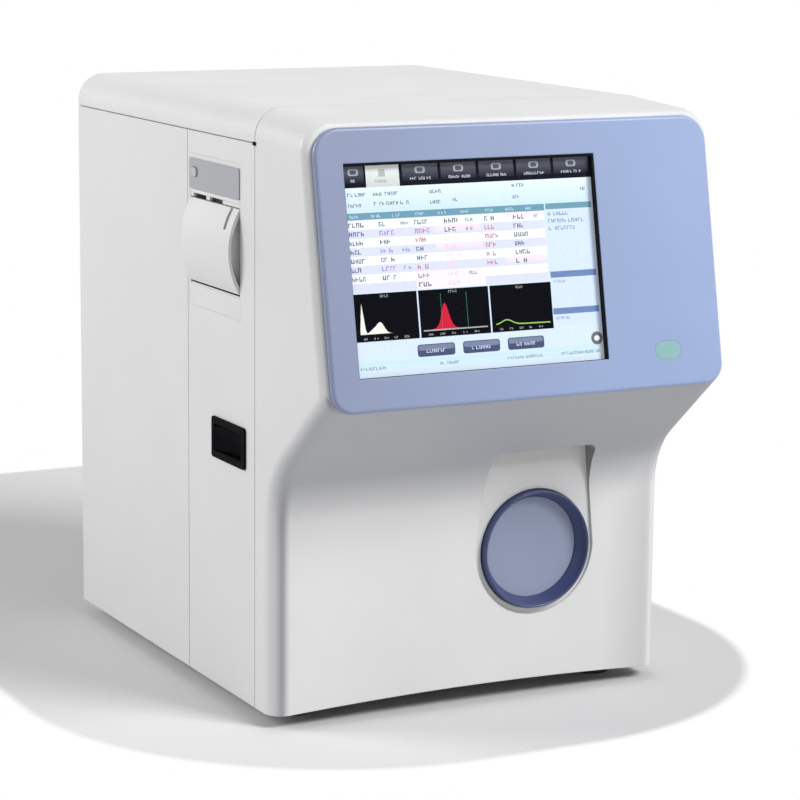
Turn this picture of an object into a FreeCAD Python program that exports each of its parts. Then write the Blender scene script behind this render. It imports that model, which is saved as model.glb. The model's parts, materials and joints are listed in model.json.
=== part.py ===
import FreeCAD, Part
import math
import os

# A compact bench-top differential cell counter, in millimetres.
# It is drawn with y = 0 on the lower front face and y growing to the rear, x = 0 on the
# middle of the body and z = 0 on the bench. The last step moves all of it so that the
# origin lies under the middle of its bounding box.

V = FreeCAD.Vector
OVERRUN = 1.0

# Body
BODY_WIDE = 300.0
BODY_TALL = 410.0
BODY_DEEP = 343.0
SKIRT_Z = 9.0
PAN_Z = 10.0
SEAM_Y = 27.0
SEAM_GAP = 0.6
PANEL_SEAM_Y = 137.5
COVER_SIDE = 23.0
COVER_EDGE_Z = BODY_TALL - COVER_SIDE
TOP_EDGE_R = 20.0
PANEL_WALL = 2.0
PANEL_RETURN = 12.0
PAN_WALL = 2.0
PAN_FLANGE = 8.0
PAN_FRONT_Y = 6.0
PAN_TONGUE_Y = 14.0
FOOT_R = 13.0
FOOT_INSET = 32.0
FOOT_BACK = 35.0
FOOT_X = BODY_WIDE / 2 - FOOT_INSET
FOOT_Y = (38.0, BODY_DEEP - FOOT_BACK)

# Front shell
SHELL_WALL = 3.0
FRONT_EDGE_R = 13.0
SHELL_INNER_EDGE = 7.0
SEAT_EDGE_R = 6.0
CURVE_Z = 138.0
CURVE_R = 55.0
CURVE_TURN = 50.0
SHELL_TOP_SLOPE = 3.2
ARCH_INSET = 8.0
ARCH_HALF = BODY_WIDE / 2 - ARCH_INSET
ARCH_RISE = 4.0

# Tilted screen panel
PANEL_TILT = 11.0
PANEL_AHEAD = 81.5
PANEL_Z = 226.4
PANEL_MARGIN = 5.0
PANEL_WIDE = BODY_WIDE - 2 * PANEL_MARGIN
PANEL_LONG = 179.5
PANEL_PROUD = 5.0
PANEL_SKIN = 3.0
PANEL_RIM = 3.0
PANEL_HOLLOW_EDGE = 10.0
PANEL_TOP_R = 18.0
PANEL_FOOT_R = 14.0
PANEL_ROUND = 2.4
SCREEN_X = (-125.7, 56.6)
SCREEN_U = (21.5, 156.6)
GASKET_WALL = 1.6
GASKET_BACK = 0.6
GLASS_LAP = 4.0
GLASS_THICK = 2.0
DISPLAY_LAP = 1.0
DISPLAY_BACK_LAP = 9.0
DISPLAY_THICK = 11.0
STATUS_X = 102.5
STATUS_U = 24.3
STATUS_WIDE = 20.0
STATUS_TALL = 12.0
STATUS_STEM_R = 4.0
STATUS_STEM = 12.0

# Aspirate key and its pocket
KEY_X = 48.4
KEY_Z = 104.0
KEY_R = 42.25
KEY_DISH_R = 36.0
KEY_MOUTH_R = 39.0
KEY_GAP = 0.35
KEY_PROUD = 6.0
KEY_DISH = 10.0
KEY_DISC_WALL = 3.75
KEY_RIM_DEEP = 17.0
KEY_STEM_R = 8.0
KEY_STEM = 22.0
POCKET_R = 46.0
POCKET_TOP_HALF = 39.0
POCKET_TOP_Z = 177.0
POCKET_DEEP = 2.0
POCKET_CORNER_R = 7.0
BRACKET_Y = 22.0
BRACKET_SHEET = 2.0
BRACKET_HALF = 54.0
BRACKET_TALL = 76.0
BRACKET_ARM_TALL = 30.0
BRACKET_DEEP = 30.0
BOSS_R = 5.0
BOSS_X = 48.0
BOSS_Z = 32.0
BUSH_R = 12.0
BUSH_GAP = 0.1
BUSH_BEHIND = 6.0
SPRING_COIL_R = 15.0
SPRING_WIRE_R = 0.7
SPRING_TURNS = 2.5
SPRING_SIDES = 4
SWITCH_BUTTON_R = 2.5
SWITCH_BODY = 20.0
SWITCH_CLEAR = 4.6

# Printer on the left side
PRINTER_Y = (49.0, 134.8)
PRINTER_Z = (267.5, 371.0)
PRINTER_DEEP = 58.0
PRINTER_WALL = 2.0
FASCIA_Z = (347.4, 367.8)
FASCIA_PROUD = 0.8
FASCIA_WALL = 3.0
FEED_KEY_Y = 123.7
FEED_KEY_Z = 359.0
FEED_KEY_WIDE = 9.0
FEED_KEY_TALL = 6.0
FEED_KEY_GAP = 0.3
FEED_KEY_PROUD = 1.2
FEED_KEY_DEEP = 7.0
DOOR_Z = (284.5, 341.0)
DOOR_GAP = 0.6
DOOR_SILL_GAP = 2.4
DOOR_BULGE = 8.0
DOOR_WALL = 2.0
DOOR_AXIS_IN = 3.0
DOOR_AXIS_UP = 3.5
DOOR_PIN_R = 1.5
DOOR_PIN_GAP = 0.05
DOOR_CHEEK = 2.5
CHEEK_INSET = 4.0
NOTCH_WIDE = 4.0
NOTCH_TALL = 14.0
NOTCH_Y = 62.7
PAPER_WIDE = 50.0
PAPER_R = 19.0
PAPER_CORE_R = 6.0
PAPER_IN = 31.0
PAPER_Z = 304.0
PAPER_PIN_R = 5.7
PAPER_PIN = 6.0
PLATEN_R = 4.5
PLATEN_SHAFT_R = 1.8
PLATEN_IN = 7.5
PLATEN_Z = 331.5
PLATEN_WIDE = 53.0
PLATEN_GAP = 0.05
GEAR_MODULE = 0.8
GEAR_FACE = 4.0
PLATEN_TEETH = 14
DRIVE_TEETH = 20
GEAR_SLACK = 0.25
GEAR_MESH_ANGLE = 90.0
gear_tooth_shares = (0.6, 0.42, 0.2)
HEAD_GAP = 0.4
HEAD_DEEP = 6.0
HEAD_TALL = 15.0

# Power switch on the left side
ROCKER_Y = (41.4, 94.9)
ROCKER_Z = (168.5, 196.5)
BEZEL_WALL = 2.2
BEZEL_PROUD = 1.6
BEZEL_LIP = 2.6
SWITCH_DEEP = 26.0
ROCKER_GAP = 0.5
ROCKER_AXIS_IN = 5.0
ROCKER_TILT = 8.0
ROCKER_DEEP = 9.0
ROCKER_PIN_R = 1.6

# Upright frame and probe
FRAME_X = -32.0
FRAME_SHEET = 2.0
FRAME_FRONT_Y = 14.0
FRAME_REAR_GAP = 4.0
FRAME_FLANGE = 14.0
FRAME_HOLE_R = 14.0
FRAME_HOLE_Z = 56.0
PROBE_Y = -8.0
PROBE_R = 1.25
PROBE_TIP_Z = 187.0
PROBE_TOP_Z = 330.0
PROBE_HOLE_R = 5.0
WIPE_Z = (184.0, 198.0)
WIPE_HALF = 8.0
WIPE_BORE_R = 1.6
RAIL_X = 16.0
RAIL_Z = (228.0, 300.0)
RAIL_R = 4.0
RAIL_Y = (14.0, 250.0)
RAIL_GAP = 0.1
BRIDGE_THICK = 5.0
BRIDGE_DEEP = 6.0
CARRIAGE_X = (6.0, 30.0)
CARRIAGE_Y = (24.0, 54.0)
CARRIAGE_SHEET = 3.0
CARRIAGE_LOBE = 20.0
GUIDE_X = 40.0
GUIDE_Y = 10.0
GUIDE_R = 3.0
GUIDE_Z = (198.0, 334.0)
LIFT_X = (34.0, 55.0)
LIFT_Y = (-11.0, 18.0)
LIFT_Z = (306.0, 320.0)
PULLEY_R = 8.0
PULLEY_FLANGE_R = 10.0
PULLEY_WIDE = 8.0
PULLEY_SHAFT_R = 2.5
BELT_X = 0.0
BELT_Z = 264.0
BELT_WIDE = 6.0
BELT_THICK = 1.4
BELT_GAP = 0.3
PULLEY_Y = (32.0, 240.0)
MOTOR_SIZE = 28.0
MOTOR_LONG = 32.0
MOTOR_ROUND = 3.0

# Counting baths
BATH_Y = (105.0, 175.0)
BATH_R = 15.0
BATH_CUP_R = 12.0
BATH_Z = (112.0, 168.0)
BATH_NECK_R = 4.0
BATH_NECK = 14.0
BATH_FLOOR = 12.0
BATH_FOOT_Z = 96.0
APERTURE_R = 9.0
APERTURE_REACH = 30.0

# Syringe unit
SYRINGE_IN = 34.0
SYRINGE_X = BODY_WIDE / 2 - SYRINGE_IN
SYRINGE_Y = (66.0, 92.0, 140.0)
SYRINGE_R = (11.0, 8.0, 11.0)
SYRINGE_WALL = 1.5
SYRINGE_Z = (122.0, 196.0)
PISTON_TALL = 7.0
PISTON_GAP = 0.3
PLUNGER_R = 3.0
CROSSHEAD_Z = (84.0, 96.0)
CROSSHEAD_Y = (52.0, 154.0)
CROSSHEAD_HALF = 11.0
SCREW_Y = 115.0
SCREW_R = 4.0
SCREW_CORE_R = 3.0
SCREW_LEAD = 8.0
SCREW_BORE_R = 4.3
STAND_IN = 58.0
STAND_X = BODY_WIDE / 2 - STAND_IN
STAND_SHEET = 3.0
STAND_Y = (48.0, 158.0)
STAND_Z = (12.0, 212.0)
STAND_SHELF_DEEP = 38.0

# Fluid parts on the base
VALVE_BACK = (137.0, 11.0)
VALVE_Y = tuple(BODY_DEEP - back for back in VALVE_BACK)
VALVE_Z = (150.0, 210.0)
VALVE_BLOCK = 12.0
VALVE_R = 9.0
VALVE_LONG = 26.0
VALVE_COLUMNS = 3
VALVE_ROWS = 2
TANK_X = 12.0
TANK_BACK = 53.0
TANK_Y = BODY_DEEP - TANK_BACK
TANK_R = 26.0
TANK_TALL = 92.0
TANK_LID = 5.0
TANK_NECK_R = 3.0
TANK_NECK = 12.0
PUMP_X = (52.0, 108.0)
PUMP_BACK = (107.0, 25.0)
PUMP_Y = tuple(BODY_DEEP - back for back in PUMP_BACK)
PUMP_TALL = 40.0
PUMP_HEAD = 26.0
PUMP_MOTOR_R = 17.0
PUMP_FOOT = 6.0
PUMP_SINK = 2.0

# Electronics on the left
BOARD_BACK = (197.0, 37.0)
BOARD_Y = tuple(BODY_DEEP - back for back in BOARD_BACK)
BOARD_Z = (120.0, 330.0)
BOARD_THICK = 1.6
BOARD_GAP = 6.0
SPACER_R = 3.0
BOARD_INSET = 8.0
CHIP_TALL = 2.4
CHIP_SIZES = (34.0, 22.0, 22.0, 16.0)
CHIP_ALONG = (44.0, 94.0, 134.0, 54.0)
CHIP_UP = (130.0, 120.0, 170.0, 60.0)
CAP_COUNT = 2
CAP_R = 5.0
CAP_TALL = 12.0
SUPPLY_X = (-143.0, -60.0)
SUPPLY_BACK = (165.0, 27.0)
SUPPLY_Y = tuple(BODY_DEEP - back for back in SUPPLY_BACK)
SUPPLY_TALL = 66.0
SUPPLY_WALL = 1.5
SUPPLY_SLOT = 3.0
SUPPLY_SLOTS = 9

# Rear fittings
REAR_FITTINGS = 14.0
FAN_IN = 64.0
FAN_DOWN = 112.0
FAN_X = FAN_IN - BODY_WIDE / 2
FAN_Z = BODY_TALL - FAN_DOWN
FAN_SIZE = 80.0
FAN_DEEP = 25.0
FAN_BORE_R = 38.0
FAN_BLADE_R = 36.0
FAN_HUB_R = 16.0
FAN_BLADES = 7
FAN_BLADE_THICK = 1.6
FAN_BLADE_PITCH = 35.0
FAN_CORNER_R = 5.0
FAN_STRUT = 4.0
GUARD_SLOTS = ((17.0, 25.0), (29.0, 37.0))
GUARD_SPOKE = 5.0
INLET_X = -104.0
INLET_Z = 56.0
INLET_WIDE = 50.0
INLET_TALL = 27.0
INLET_FLANGE = 5.0
INLET_DEEP = 20.0
INLET_LIP = 2.5
PORT_X = (52.0, 74.0, 96.0, 118.0)
PORT_Z = 74.0
PORT_R = 4.0
PORT_BORE_R = 2.0
PORT_BEAD_R = 5.0
PORT_BEAD = 2.0
PORT_BLOCK_TALL = 24.0
PORT_BLOCK_THICK = 6.0
PORT_BORE = 12.0
SOCKET_X = (-74.0, -50.0)
SOCKET_Z = 150.0
SOCKET_STEP = 22.0
SOCKET_COUNT = 4
SOCKET_TALL = 16.0
SOCKET_DEEP = 16.0
SOCKET_LIP = 3.0
VENT_X = 30.0
VENT_Z = (250.0, 350.0)
VENT_COUNT = 11
VENT_LONG = 70.0
VENT_TALL = 4.0

# Service door on the right side
SERVICE_BACK = 17.0
SERVICE_DOWN = 38.0
SERVICE_Y = (44.0, BODY_DEEP - SERVICE_BACK)
SERVICE_Z = (26.0, BODY_TALL - SERVICE_DOWN)
SERVICE_GAP = 1.6
SERVICE_AXIS_BACK = 4.0
SERVICE_AXIS_IN = 3.0
SERVICE_RETURN = 9.0
SERVICE_PIN_R = 2.0
SERVICE_PIN_GAP = 0.1
SERVICE_PIN_LONG = 6.0
SERVICE_LUG = 6.0
SERVICE_CORNER_R = 5.0
LATCH_Z = 200.0
LATCH_BACK = 14.0
LATCH_R = 6.0
LATCH_HEAD = 1.5
LATCH_SLOT = 1.6
LATCH_GAP = 0.1
LATCH_CAM = 19.0
LATCH_CAM_WIDE = 8.0
LATCH_CAM_THICK = 2.0

HALF = BODY_WIDE / 2
TILT = math.radians(PANEL_TILT)
FOREMOST = PANEL_AHEAD - PANEL_ROUND * (math.cos(TILT) + math.sin(TILT) - 1)


def block(x_ends, y_ends, z_ends):
    """A box between pairs of limits."""
    (x0, x1), (y0, y1), (z0, z1) = x_ends, y_ends, z_ends
    return Part.makeBox(x1 - x0, y1 - y0, z1 - z0, V(x0, y0, z0))


def rod(radius, start, end):
    """A round bar from one point to another."""
    line = end.sub(start)
    return Part.makeCylinder(radius, line.Length, start, line)


def span(middle, size):
    """The two limits of a size laid out evenly about a middle."""
    return (middle - size / 2, middle + size / 2)


def grown(ends, by):
    """A pair of limits, each moved outwards."""
    return (ends[0] - by, ends[1] + by)


def joined(shapes):
    """One shape out of several that touch."""
    return shapes[0].multiFuse(shapes[1:]).removeSplitter()


def less(shape, cutters):
    """A shape with others taken out of it."""
    return shape.cut(cutters)


def rounded(shape, radius, wanted):
    """The shape with the edges that pass a test rounded."""
    return shape.makeFillet(radius, [edge for edge in shape.Edges if wanted(edge)])


def chamfered(shape, size, wanted):
    """The shape with the edges that pass a test cut off slantwise."""
    return shape.makeChamfer(size, [edge for edge in shape.Edges if wanted(edge)])


def runs_along(axis):
    """A test for straight edges that run along one axis."""

    def wanted(edge):
        a, b = edge.firstVertex().Point, edge.lastVertex().Point
        line = b.sub(a)
        return line.Length > 0 and abs(line.normalize().dot(axis)) > math.cos(math.radians(1))

    return wanted


def soft_block(x_ends, y_ends, z_ends, radius, axis):
    """A box with its four edges along one axis rounded."""
    return rounded(block(x_ends, y_ends, z_ends), radius, runs_along(axis))


def prism_x(points, x_ends):
    """A flat outline of (y, z) points drawn out along x."""
    ring = [V(x_ends[0], y, z) for y, z in points]
    face = Part.Face(Part.makePolygon(ring + ring[:1]))
    return face.extrude(V(x_ends[1] - x_ends[0], 0, 0))


def prism_y(points, y_ends):
    """A flat outline of (x, z) points drawn out along y."""
    ring = [V(x, y_ends[0], z) for x, z in points]
    face = Part.Face(Part.makePolygon(ring + ring[:1]))
    return face.extrude(V(0, y_ends[1] - y_ends[0], 0))


def prism_z(points, z_ends):
    """A flat outline of (x, y) points drawn out along z."""
    ring = [V(x, y, z_ends[0]) for x, y in points]
    face = Part.Face(Part.makePolygon(ring + ring[:1]))
    return face.extrude(V(0, 0, z_ends[1] - z_ends[0]))


def turned(points, centre, axis):
    """A round body from (radius, height) points, turned about a line through centre."""
    ring = [V(r, 0, h) for r, h in points]
    face = Part.Face(Part.makePolygon(ring + ring[:1]))
    body = face.revolve(V(0, 0, 0), V(0, 0, 1), 360)
    body.Placement = FreeCAD.Placement(centre, FreeCAD.Rotation(V(0, 0, 1), axis))
    return body


def tilted(shape):
    """A shape drawn flat (x, depth, height up the panel) laid on the tilted panel."""
    shape.rotate(V(0, 0, 0), V(1, 0, 0), -PANEL_TILT)
    shape.translate(V(0, -PANEL_AHEAD, PANEL_Z))
    return shape


def arch_face(half, top, radius, bottom):
    """A flat face with rounded top corners, standing across the body."""
    bend = radius * (1 - math.cos(math.pi / 4))
    edges = [
        Part.LineSegment(V(-half, 0, bottom), V(half, 0, bottom)),
        Part.LineSegment(V(half, 0, bottom), V(half, 0, top - radius)),
        Part.Arc(V(half, 0, top - radius), V(half - bend, 0, top - bend), V(half - radius, 0, top)),
        Part.LineSegment(V(half - radius, 0, top), V(radius - half, 0, top)),
        Part.Arc(V(radius - half, 0, top), V(bend - half, 0, top - bend), V(-half, 0, top - radius)),
        Part.LineSegment(V(-half, 0, top - radius), V(-half, 0, bottom)),
    ]
    return Part.Face(Part.Wire([edge.toShape() for edge in edges]))


def arch(inset, y_ends, bottom):
    """The rounded section of the body, inset by a wall, drawn out along y."""
    face = arch_face(HALF - inset, BODY_TALL - inset, TOP_EDGE_R - inset, bottom)
    face.translate(V(0, y_ends[0], 0))
    return face.extrude(V(0, y_ends[1] - y_ends[0], 0))


def seat_point(up, inset):
    """How far ahead and how high a point of the seat behind the screen panel lies."""
    back = PANEL_PROUD + inset
    ahead = PANEL_AHEAD - back * math.cos(TILT) - up * math.sin(TILT)
    return ahead, PANEL_Z - back * math.sin(TILT) + up * math.cos(TILT)


def side_face(inset, rear, bottom):
    """The side outline of the front shell: straight, swept out, tilted back, level."""
    turn = math.radians(CURVE_TURN)
    slope = math.tan(math.radians(SHELL_TOP_SLOPE))
    radius = CURVE_R + inset

    def at(ahead, z):
        return V(0, -ahead, z)

    def on_curve(angle):
        return at(CURVE_R - radius * math.cos(angle), CURVE_Z + radius * math.sin(angle))

    foot_ahead, foot_z = seat_point(0, inset)
    end = on_curve(turn)
    reach = (foot_ahead + end.y) * math.cos(TILT) + (foot_z - end.z) * math.sin(TILT)
    reach = reach / math.sin(turn + TILT)
    nose = at(-end.y + reach * math.sin(turn), end.z + reach * math.cos(turn))
    top = BODY_TALL - inset
    up = top - foot_z - (SEAM_Y + foot_ahead) * slope
    brow = at(*seat_point(up / (math.cos(TILT) - math.sin(TILT) * slope), inset))
    heel = at(-inset, bottom)
    start = on_curve(0)
    corners = [end, nose, brow, V(0, rear, top + (rear - SEAM_Y) * slope), V(0, rear, bottom), heel]
    edges = [Part.LineSegment(heel, start).toShape()]
    edges.append(Part.Arc(start, on_curve(turn / 2), end).toShape())
    edges += [Part.LineSegment(a, b).toShape() for a, b in zip(corners, corners[1:])]
    return Part.Face(Part.Wire(edges))


def hull(inset, rear, bottom, ease):
    """The whole block of the front shell, inset by a wall, with its edges eased."""
    half = HALF - inset
    side = side_face(inset, rear, bottom)
    side.translate(V(-half, 0, 0))
    body = side.extrude(V(2 * half, 0, 0))
    slope = math.radians(SHELL_TOP_SLOPE)
    rearward = V(0, math.cos(slope), math.sin(slope))
    top = V(0, SEAM_Y, BODY_TALL - inset)
    section = arch_face(half, top.z, TOP_EDGE_R - inset, -BODY_TALL)
    section.translate(V(0, SEAM_Y, 0))
    section.rotate(top, V(1, 0, 0), SHELL_TOP_SLOPE)
    section.translate(rearward * SEAM_Y)
    body = body.common(section.extrude(rearward * -BODY_DEEP))
    foot_ahead, foot_z = seat_point(0, inset)

    def on_seat(point):
        off = (-point.y - foot_ahead) * math.cos(TILT) + (point.z - foot_z) * math.sin(TILT)
        return abs(off) < OVERRUN / 100

    def on_side(edge):
        box = edge.BoundBox
        level = abs(abs(box.Center.x) - half) < OVERRUN / 100 and box.XLength < OVERRUN / 100
        ends = all(on_seat(vertex.Point) for vertex in edge.Vertexes)
        return level and not ends and box.YMax < rear - OVERRUN and box.ZLength > OVERRUN

    def round_seat(edge):
        return all(on_seat(vertex.Point) for vertex in edge.Vertexes)

    return ease(body, on_side, round_seat)


def outer_ease(body, on_side, round_seat):
    """Round edges, as the outside of the moulding has them."""
    return rounded(rounded(body, FRONT_EDGE_R, on_side), SEAT_EDGE_R, round_seat)


def inner_ease(body, on_side, round_seat):
    """Slanted edges inside the moulding, along its sides alone."""
    return chamfered(body, SHELL_INNER_EDGE, on_side)


def pocket_outline(offset):
    """The tombstone outline of the key pocket, standing across the body."""
    half_low, half_top = POCKET_R, POCKET_TOP_HALF
    low = [V(KEY_X + s * half_low, 0, KEY_Z) for s in (-1, 1)]
    top = [V(KEY_X + s * half_top, 0, POCKET_TOP_Z) for s in (-1, 1)]
    edges = [
        Part.Arc(low[0], V(KEY_X, 0, KEY_Z - POCKET_R), low[1]).toShape(),
        Part.LineSegment(low[1], top[1]).toShape(),
        Part.LineSegment(top[1], top[0]).toShape(),
        Part.LineSegment(top[0], low[0]).toShape(),
    ]
    face = Part.Face(Part.Wire(edges))
    return face.makeOffset2D(offset) if offset else face


def pocket_prism(offset, rear):
    """The pocket drawn out from ahead of the nose to a depth in the shell."""
    face = pocket_outline(offset)
    face.translate(V(0, -FOREMOST - OVERRUN, 0))
    body = face.extrude(V(0, FOREMOST + OVERRUN + rear, 0))
    top = POCKET_TOP_Z + offset

    def upper(edge):
        box = edge.BoundBox
        return runs_along(V(0, 1, 0))(edge) and abs(box.ZMax - top) < OVERRUN

    return rounded(body, POCKET_CORNER_R + offset, upper) if not offset else body


def bracket_bosses(radius, start, end):
    """Four posts behind the front wall that carry the key bracket."""
    posts = []
    for side in (-1, 1):
        for level in (-1, 1):
            x, z = KEY_X + side * BOSS_X, KEY_Z + level * BOSS_Z
            posts.append(rod(radius, V(x, start, z), V(x, end, z)))
    return posts


def front_shell():
    """Moulded front: swept wall, screen seat, key pocket, arched foot."""
    outer = hull(0, SEAM_Y, SKIRT_Z, outer_ease)
    inner = hull(SHELL_WALL, SEAM_Y + OVERRUN, SKIRT_Z - OVERRUN, inner_ease)
    floor = POCKET_DEEP + SHELL_WALL
    lining = pocket_prism(SHELL_WALL, floor).common(outer)
    shell = joined([outer.cut(inner), lining])
    shell = shell.multiFuse(bracket_bosses(BOSS_R, SHELL_WALL, BRACKET_Y))
    window_x = grown(SCREEN_X, DISPLAY_LAP)
    window_u = grown(SCREEN_U, DISPLAY_LAP)
    wall = (PANEL_PROUD - OVERRUN, PANEL_PROUD + SHELL_WALL + OVERRUN)
    cuts = [pocket_prism(0, POCKET_DEEP), tilted(block(window_x, wall, window_u))]
    light = [V(STATUS_X, y, STATUS_U) for y in wall]
    cuts.append(tilted(rod(STATUS_STEM_R, *light)))
    mouth = [V(KEY_X, y, KEY_Z) for y in (-OVERRUN, floor + OVERRUN)]
    cuts.append(rod(KEY_R + KEY_GAP, *mouth))
    ceiling = (POCKET_TOP_Z - OVERRUN, POCKET_TOP_Z + SHELL_WALL + OVERRUN)
    cuts.append(rod(PROBE_HOLE_R, *[V(KEY_X, PROBE_Y, z) for z in ceiling]))
    foot = [V(-ARCH_HALF, 0, SKIRT_Z), V(0, 0, SKIRT_Z + ARCH_RISE), V(ARCH_HALF, 0, SKIRT_Z)]
    chord = Part.LineSegment(foot[2], foot[0]).toShape()
    arc = Part.Face(Part.Wire([Part.Arc(*foot).toShape(), chord]))
    arc.translate(V(0, -OVERRUN, 0))
    cuts.append(arc.extrude(V(0, SHELL_WALL + 2 * OVERRUN, 0)))
    return less(shell, cuts)


def panel_plate():
    """The plate of the screen panel with its round corners and front edge, drawn upright."""
    plate = block(span(0, PANEL_WIDE), (0, PANEL_PROUD), (0, PANEL_LONG))
    middle = PANEL_LONG / 2
    upright = runs_along(V(0, 1, 0))
    plate = rounded(plate, PANEL_TOP_R, lambda edge: upright(edge) and edge.CenterOfMass.z > middle)
    plate = rounded(plate, PANEL_FOOT_R, lambda edge: upright(edge) and edge.CenterOfMass.z < middle)
    return rounded(plate, PANEL_ROUND, lambda edge: abs(edge.BoundBox.YMax) < OVERRUN / 100)


def screen_bezel():
    """Coloured panel round the screen: a rounded tray, hollow at the back."""
    plate = panel_plate()
    across = grown(span(0, PANEL_WIDE), -PANEL_RIM)
    upward = grown((0, PANEL_LONG), -PANEL_RIM)
    hollow = block(across, (PANEL_SKIN, PANEL_PROUD + OVERRUN), upward)
    hollow = chamfered(hollow, PANEL_HOLLOW_EDGE, runs_along(V(0, 1, 0)))
    window = block(SCREEN_X, (-OVERRUN, PANEL_PROUD), SCREEN_U)
    light = status_plate((-OVERRUN, PANEL_PROUD))
    return tilted(less(plate, [hollow, window, light]))


def screen_gasket():
    """Dark lining of the screen window."""
    inner = block(
        grown(SCREEN_X, -GASKET_WALL), (-OVERRUN, PANEL_PROUD), grown(SCREEN_U, -GASKET_WALL)
    )
    return tilted(block(SCREEN_X, (GASKET_BACK, PANEL_SKIN), SCREEN_U).cut(inner))


def touch_glass():
    """Touch screen, held behind the skin of the panel."""
    depth = (PANEL_SKIN, PANEL_SKIN + GLASS_THICK)
    return tilted(block(grown(SCREEN_X, GLASS_LAP), depth, grown(SCREEN_U, GLASS_LAP)))


def lcd_module():
    """Display behind the glass, with its lit face in the window of the shell."""
    start = PANEL_SKIN + GLASS_THICK
    wall = start + SHELL_WALL
    face = block(grown(SCREEN_X, 0), (start, wall), grown(SCREEN_U, 0))
    lap = DISPLAY_BACK_LAP
    back = block(grown(SCREEN_X, lap), (wall, wall + DISPLAY_THICK), grown(SCREEN_U, lap))
    return tilted(joined([face, back]))


def status_plate(depth):
    """Rounded outline of the status light, drawn upright."""
    corner = STATUS_TALL / 2 - OVERRUN / 10
    x_ends, u_ends = span(STATUS_X, STATUS_WIDE), span(STATUS_U, STATUS_TALL)
    return soft_block(x_ends, depth, u_ends, corner, V(0, 1, 0))


def status_lens():
    """Status light: a flush lens with a light guide behind it."""
    stem = rod(STATUS_STEM_R, V(STATUS_X, PANEL_SKIN, STATUS_U), V(STATUS_X, STATUS_STEM, STATUS_U))
    return tilted(joined([status_plate((0, PANEL_PROUD)), stem]))


def top_cover():
    """Bent cover over the rear part, down to its side edges."""
    depth = (SEAM_Y + SEAM_GAP, BODY_DEEP)
    longer = grown(depth, OVERRUN)
    inner = arch(PANEL_WALL, longer, COVER_EDGE_Z - OVERRUN)
    return arch(0, depth, COVER_EDGE_Z).cut(inner)


def side_sheet(side, y_ends):
    """A side panel with its lower edge turned in under the pan."""
    outer, inner = side * HALF, side * (HALF - PANEL_WALL)
    top = COVER_EDGE_Z - SEAM_GAP
    sheet = block(sorted((outer, inner)), y_ends, (SKIRT_Z, top))
    turned_in = side * (HALF - PANEL_RETURN)
    lower = block(sorted((outer, turned_in)), y_ends, (SKIRT_Z, PAN_Z))
    return joined([sheet, lower])


def left_front_panel():
    """Narrow side panel with openings for the printer and the power switch."""
    through = (-HALF - OVERRUN, -HALF + PANEL_WALL + OVERRUN)
    sheet = side_sheet(-1, (SEAM_Y + SEAM_GAP, PANEL_SEAM_Y - SEAM_GAP / 2))
    hole = block(through, grown(ROCKER_Y, -BEZEL_LIP), grown(ROCKER_Z, -BEZEL_LIP))
    return less(sheet, [block(through, PRINTER_Y, PRINTER_Z), hole])


def left_rear_panel():
    """Plain side panel behind the seam."""
    return side_sheet(-1, (PANEL_SEAM_Y + SEAM_GAP / 2, BODY_DEEP))


def right_panel():
    """Right side frame round the service door, with two hinge lugs."""
    sheet = side_sheet(1, (SEAM_Y + SEAM_GAP, BODY_DEEP))
    gap = SERVICE_GAP
    through = (HALF - PANEL_WALL - OVERRUN, HALF + OVERRUN)
    opening = soft_block(
        through, grown(SERVICE_Y, gap), grown(SERVICE_Z, gap), SERVICE_CORNER_R + gap, V(1, 0, 0)
    )
    sheet = sheet.cut(opening)
    x, y = service_axis()
    lugs, bores = [], []
    for z, side in ((SERVICE_Z[0], -1), (SERVICE_Z[1], 1)):
        start, end = z + side * gap, z + side * (gap + SERVICE_LUG)
        lug_x = (x - SERVICE_LUG, HALF - PANEL_WALL)
        lugs.append(block(lug_x, span(y, 2 * SERVICE_LUG), sorted((start, end))))
        bore = SERVICE_PIN_R + SERVICE_PIN_GAP
        bores.append(rod(bore, V(x, y, start - side * OVERRUN), V(x, y, end + side * OVERRUN)))
    edge = SERVICE_Y[0] - gap
    keeper_x = (HALF - SERVICE_RETURN + DOOR_GAP, HALF - PANEL_WALL)
    keeper = block(keeper_x, (edge - PANEL_WALL, edge), span(LATCH_Z, 2 * LATCH_CAM))
    return less(joined([sheet, keeper] + lugs), bores)


def service_axis():
    """Where the upright hinge line of the service door stands."""
    return HALF - SERVICE_AXIS_IN, SERVICE_Y[1] - SERVICE_AXIS_BACK


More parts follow.
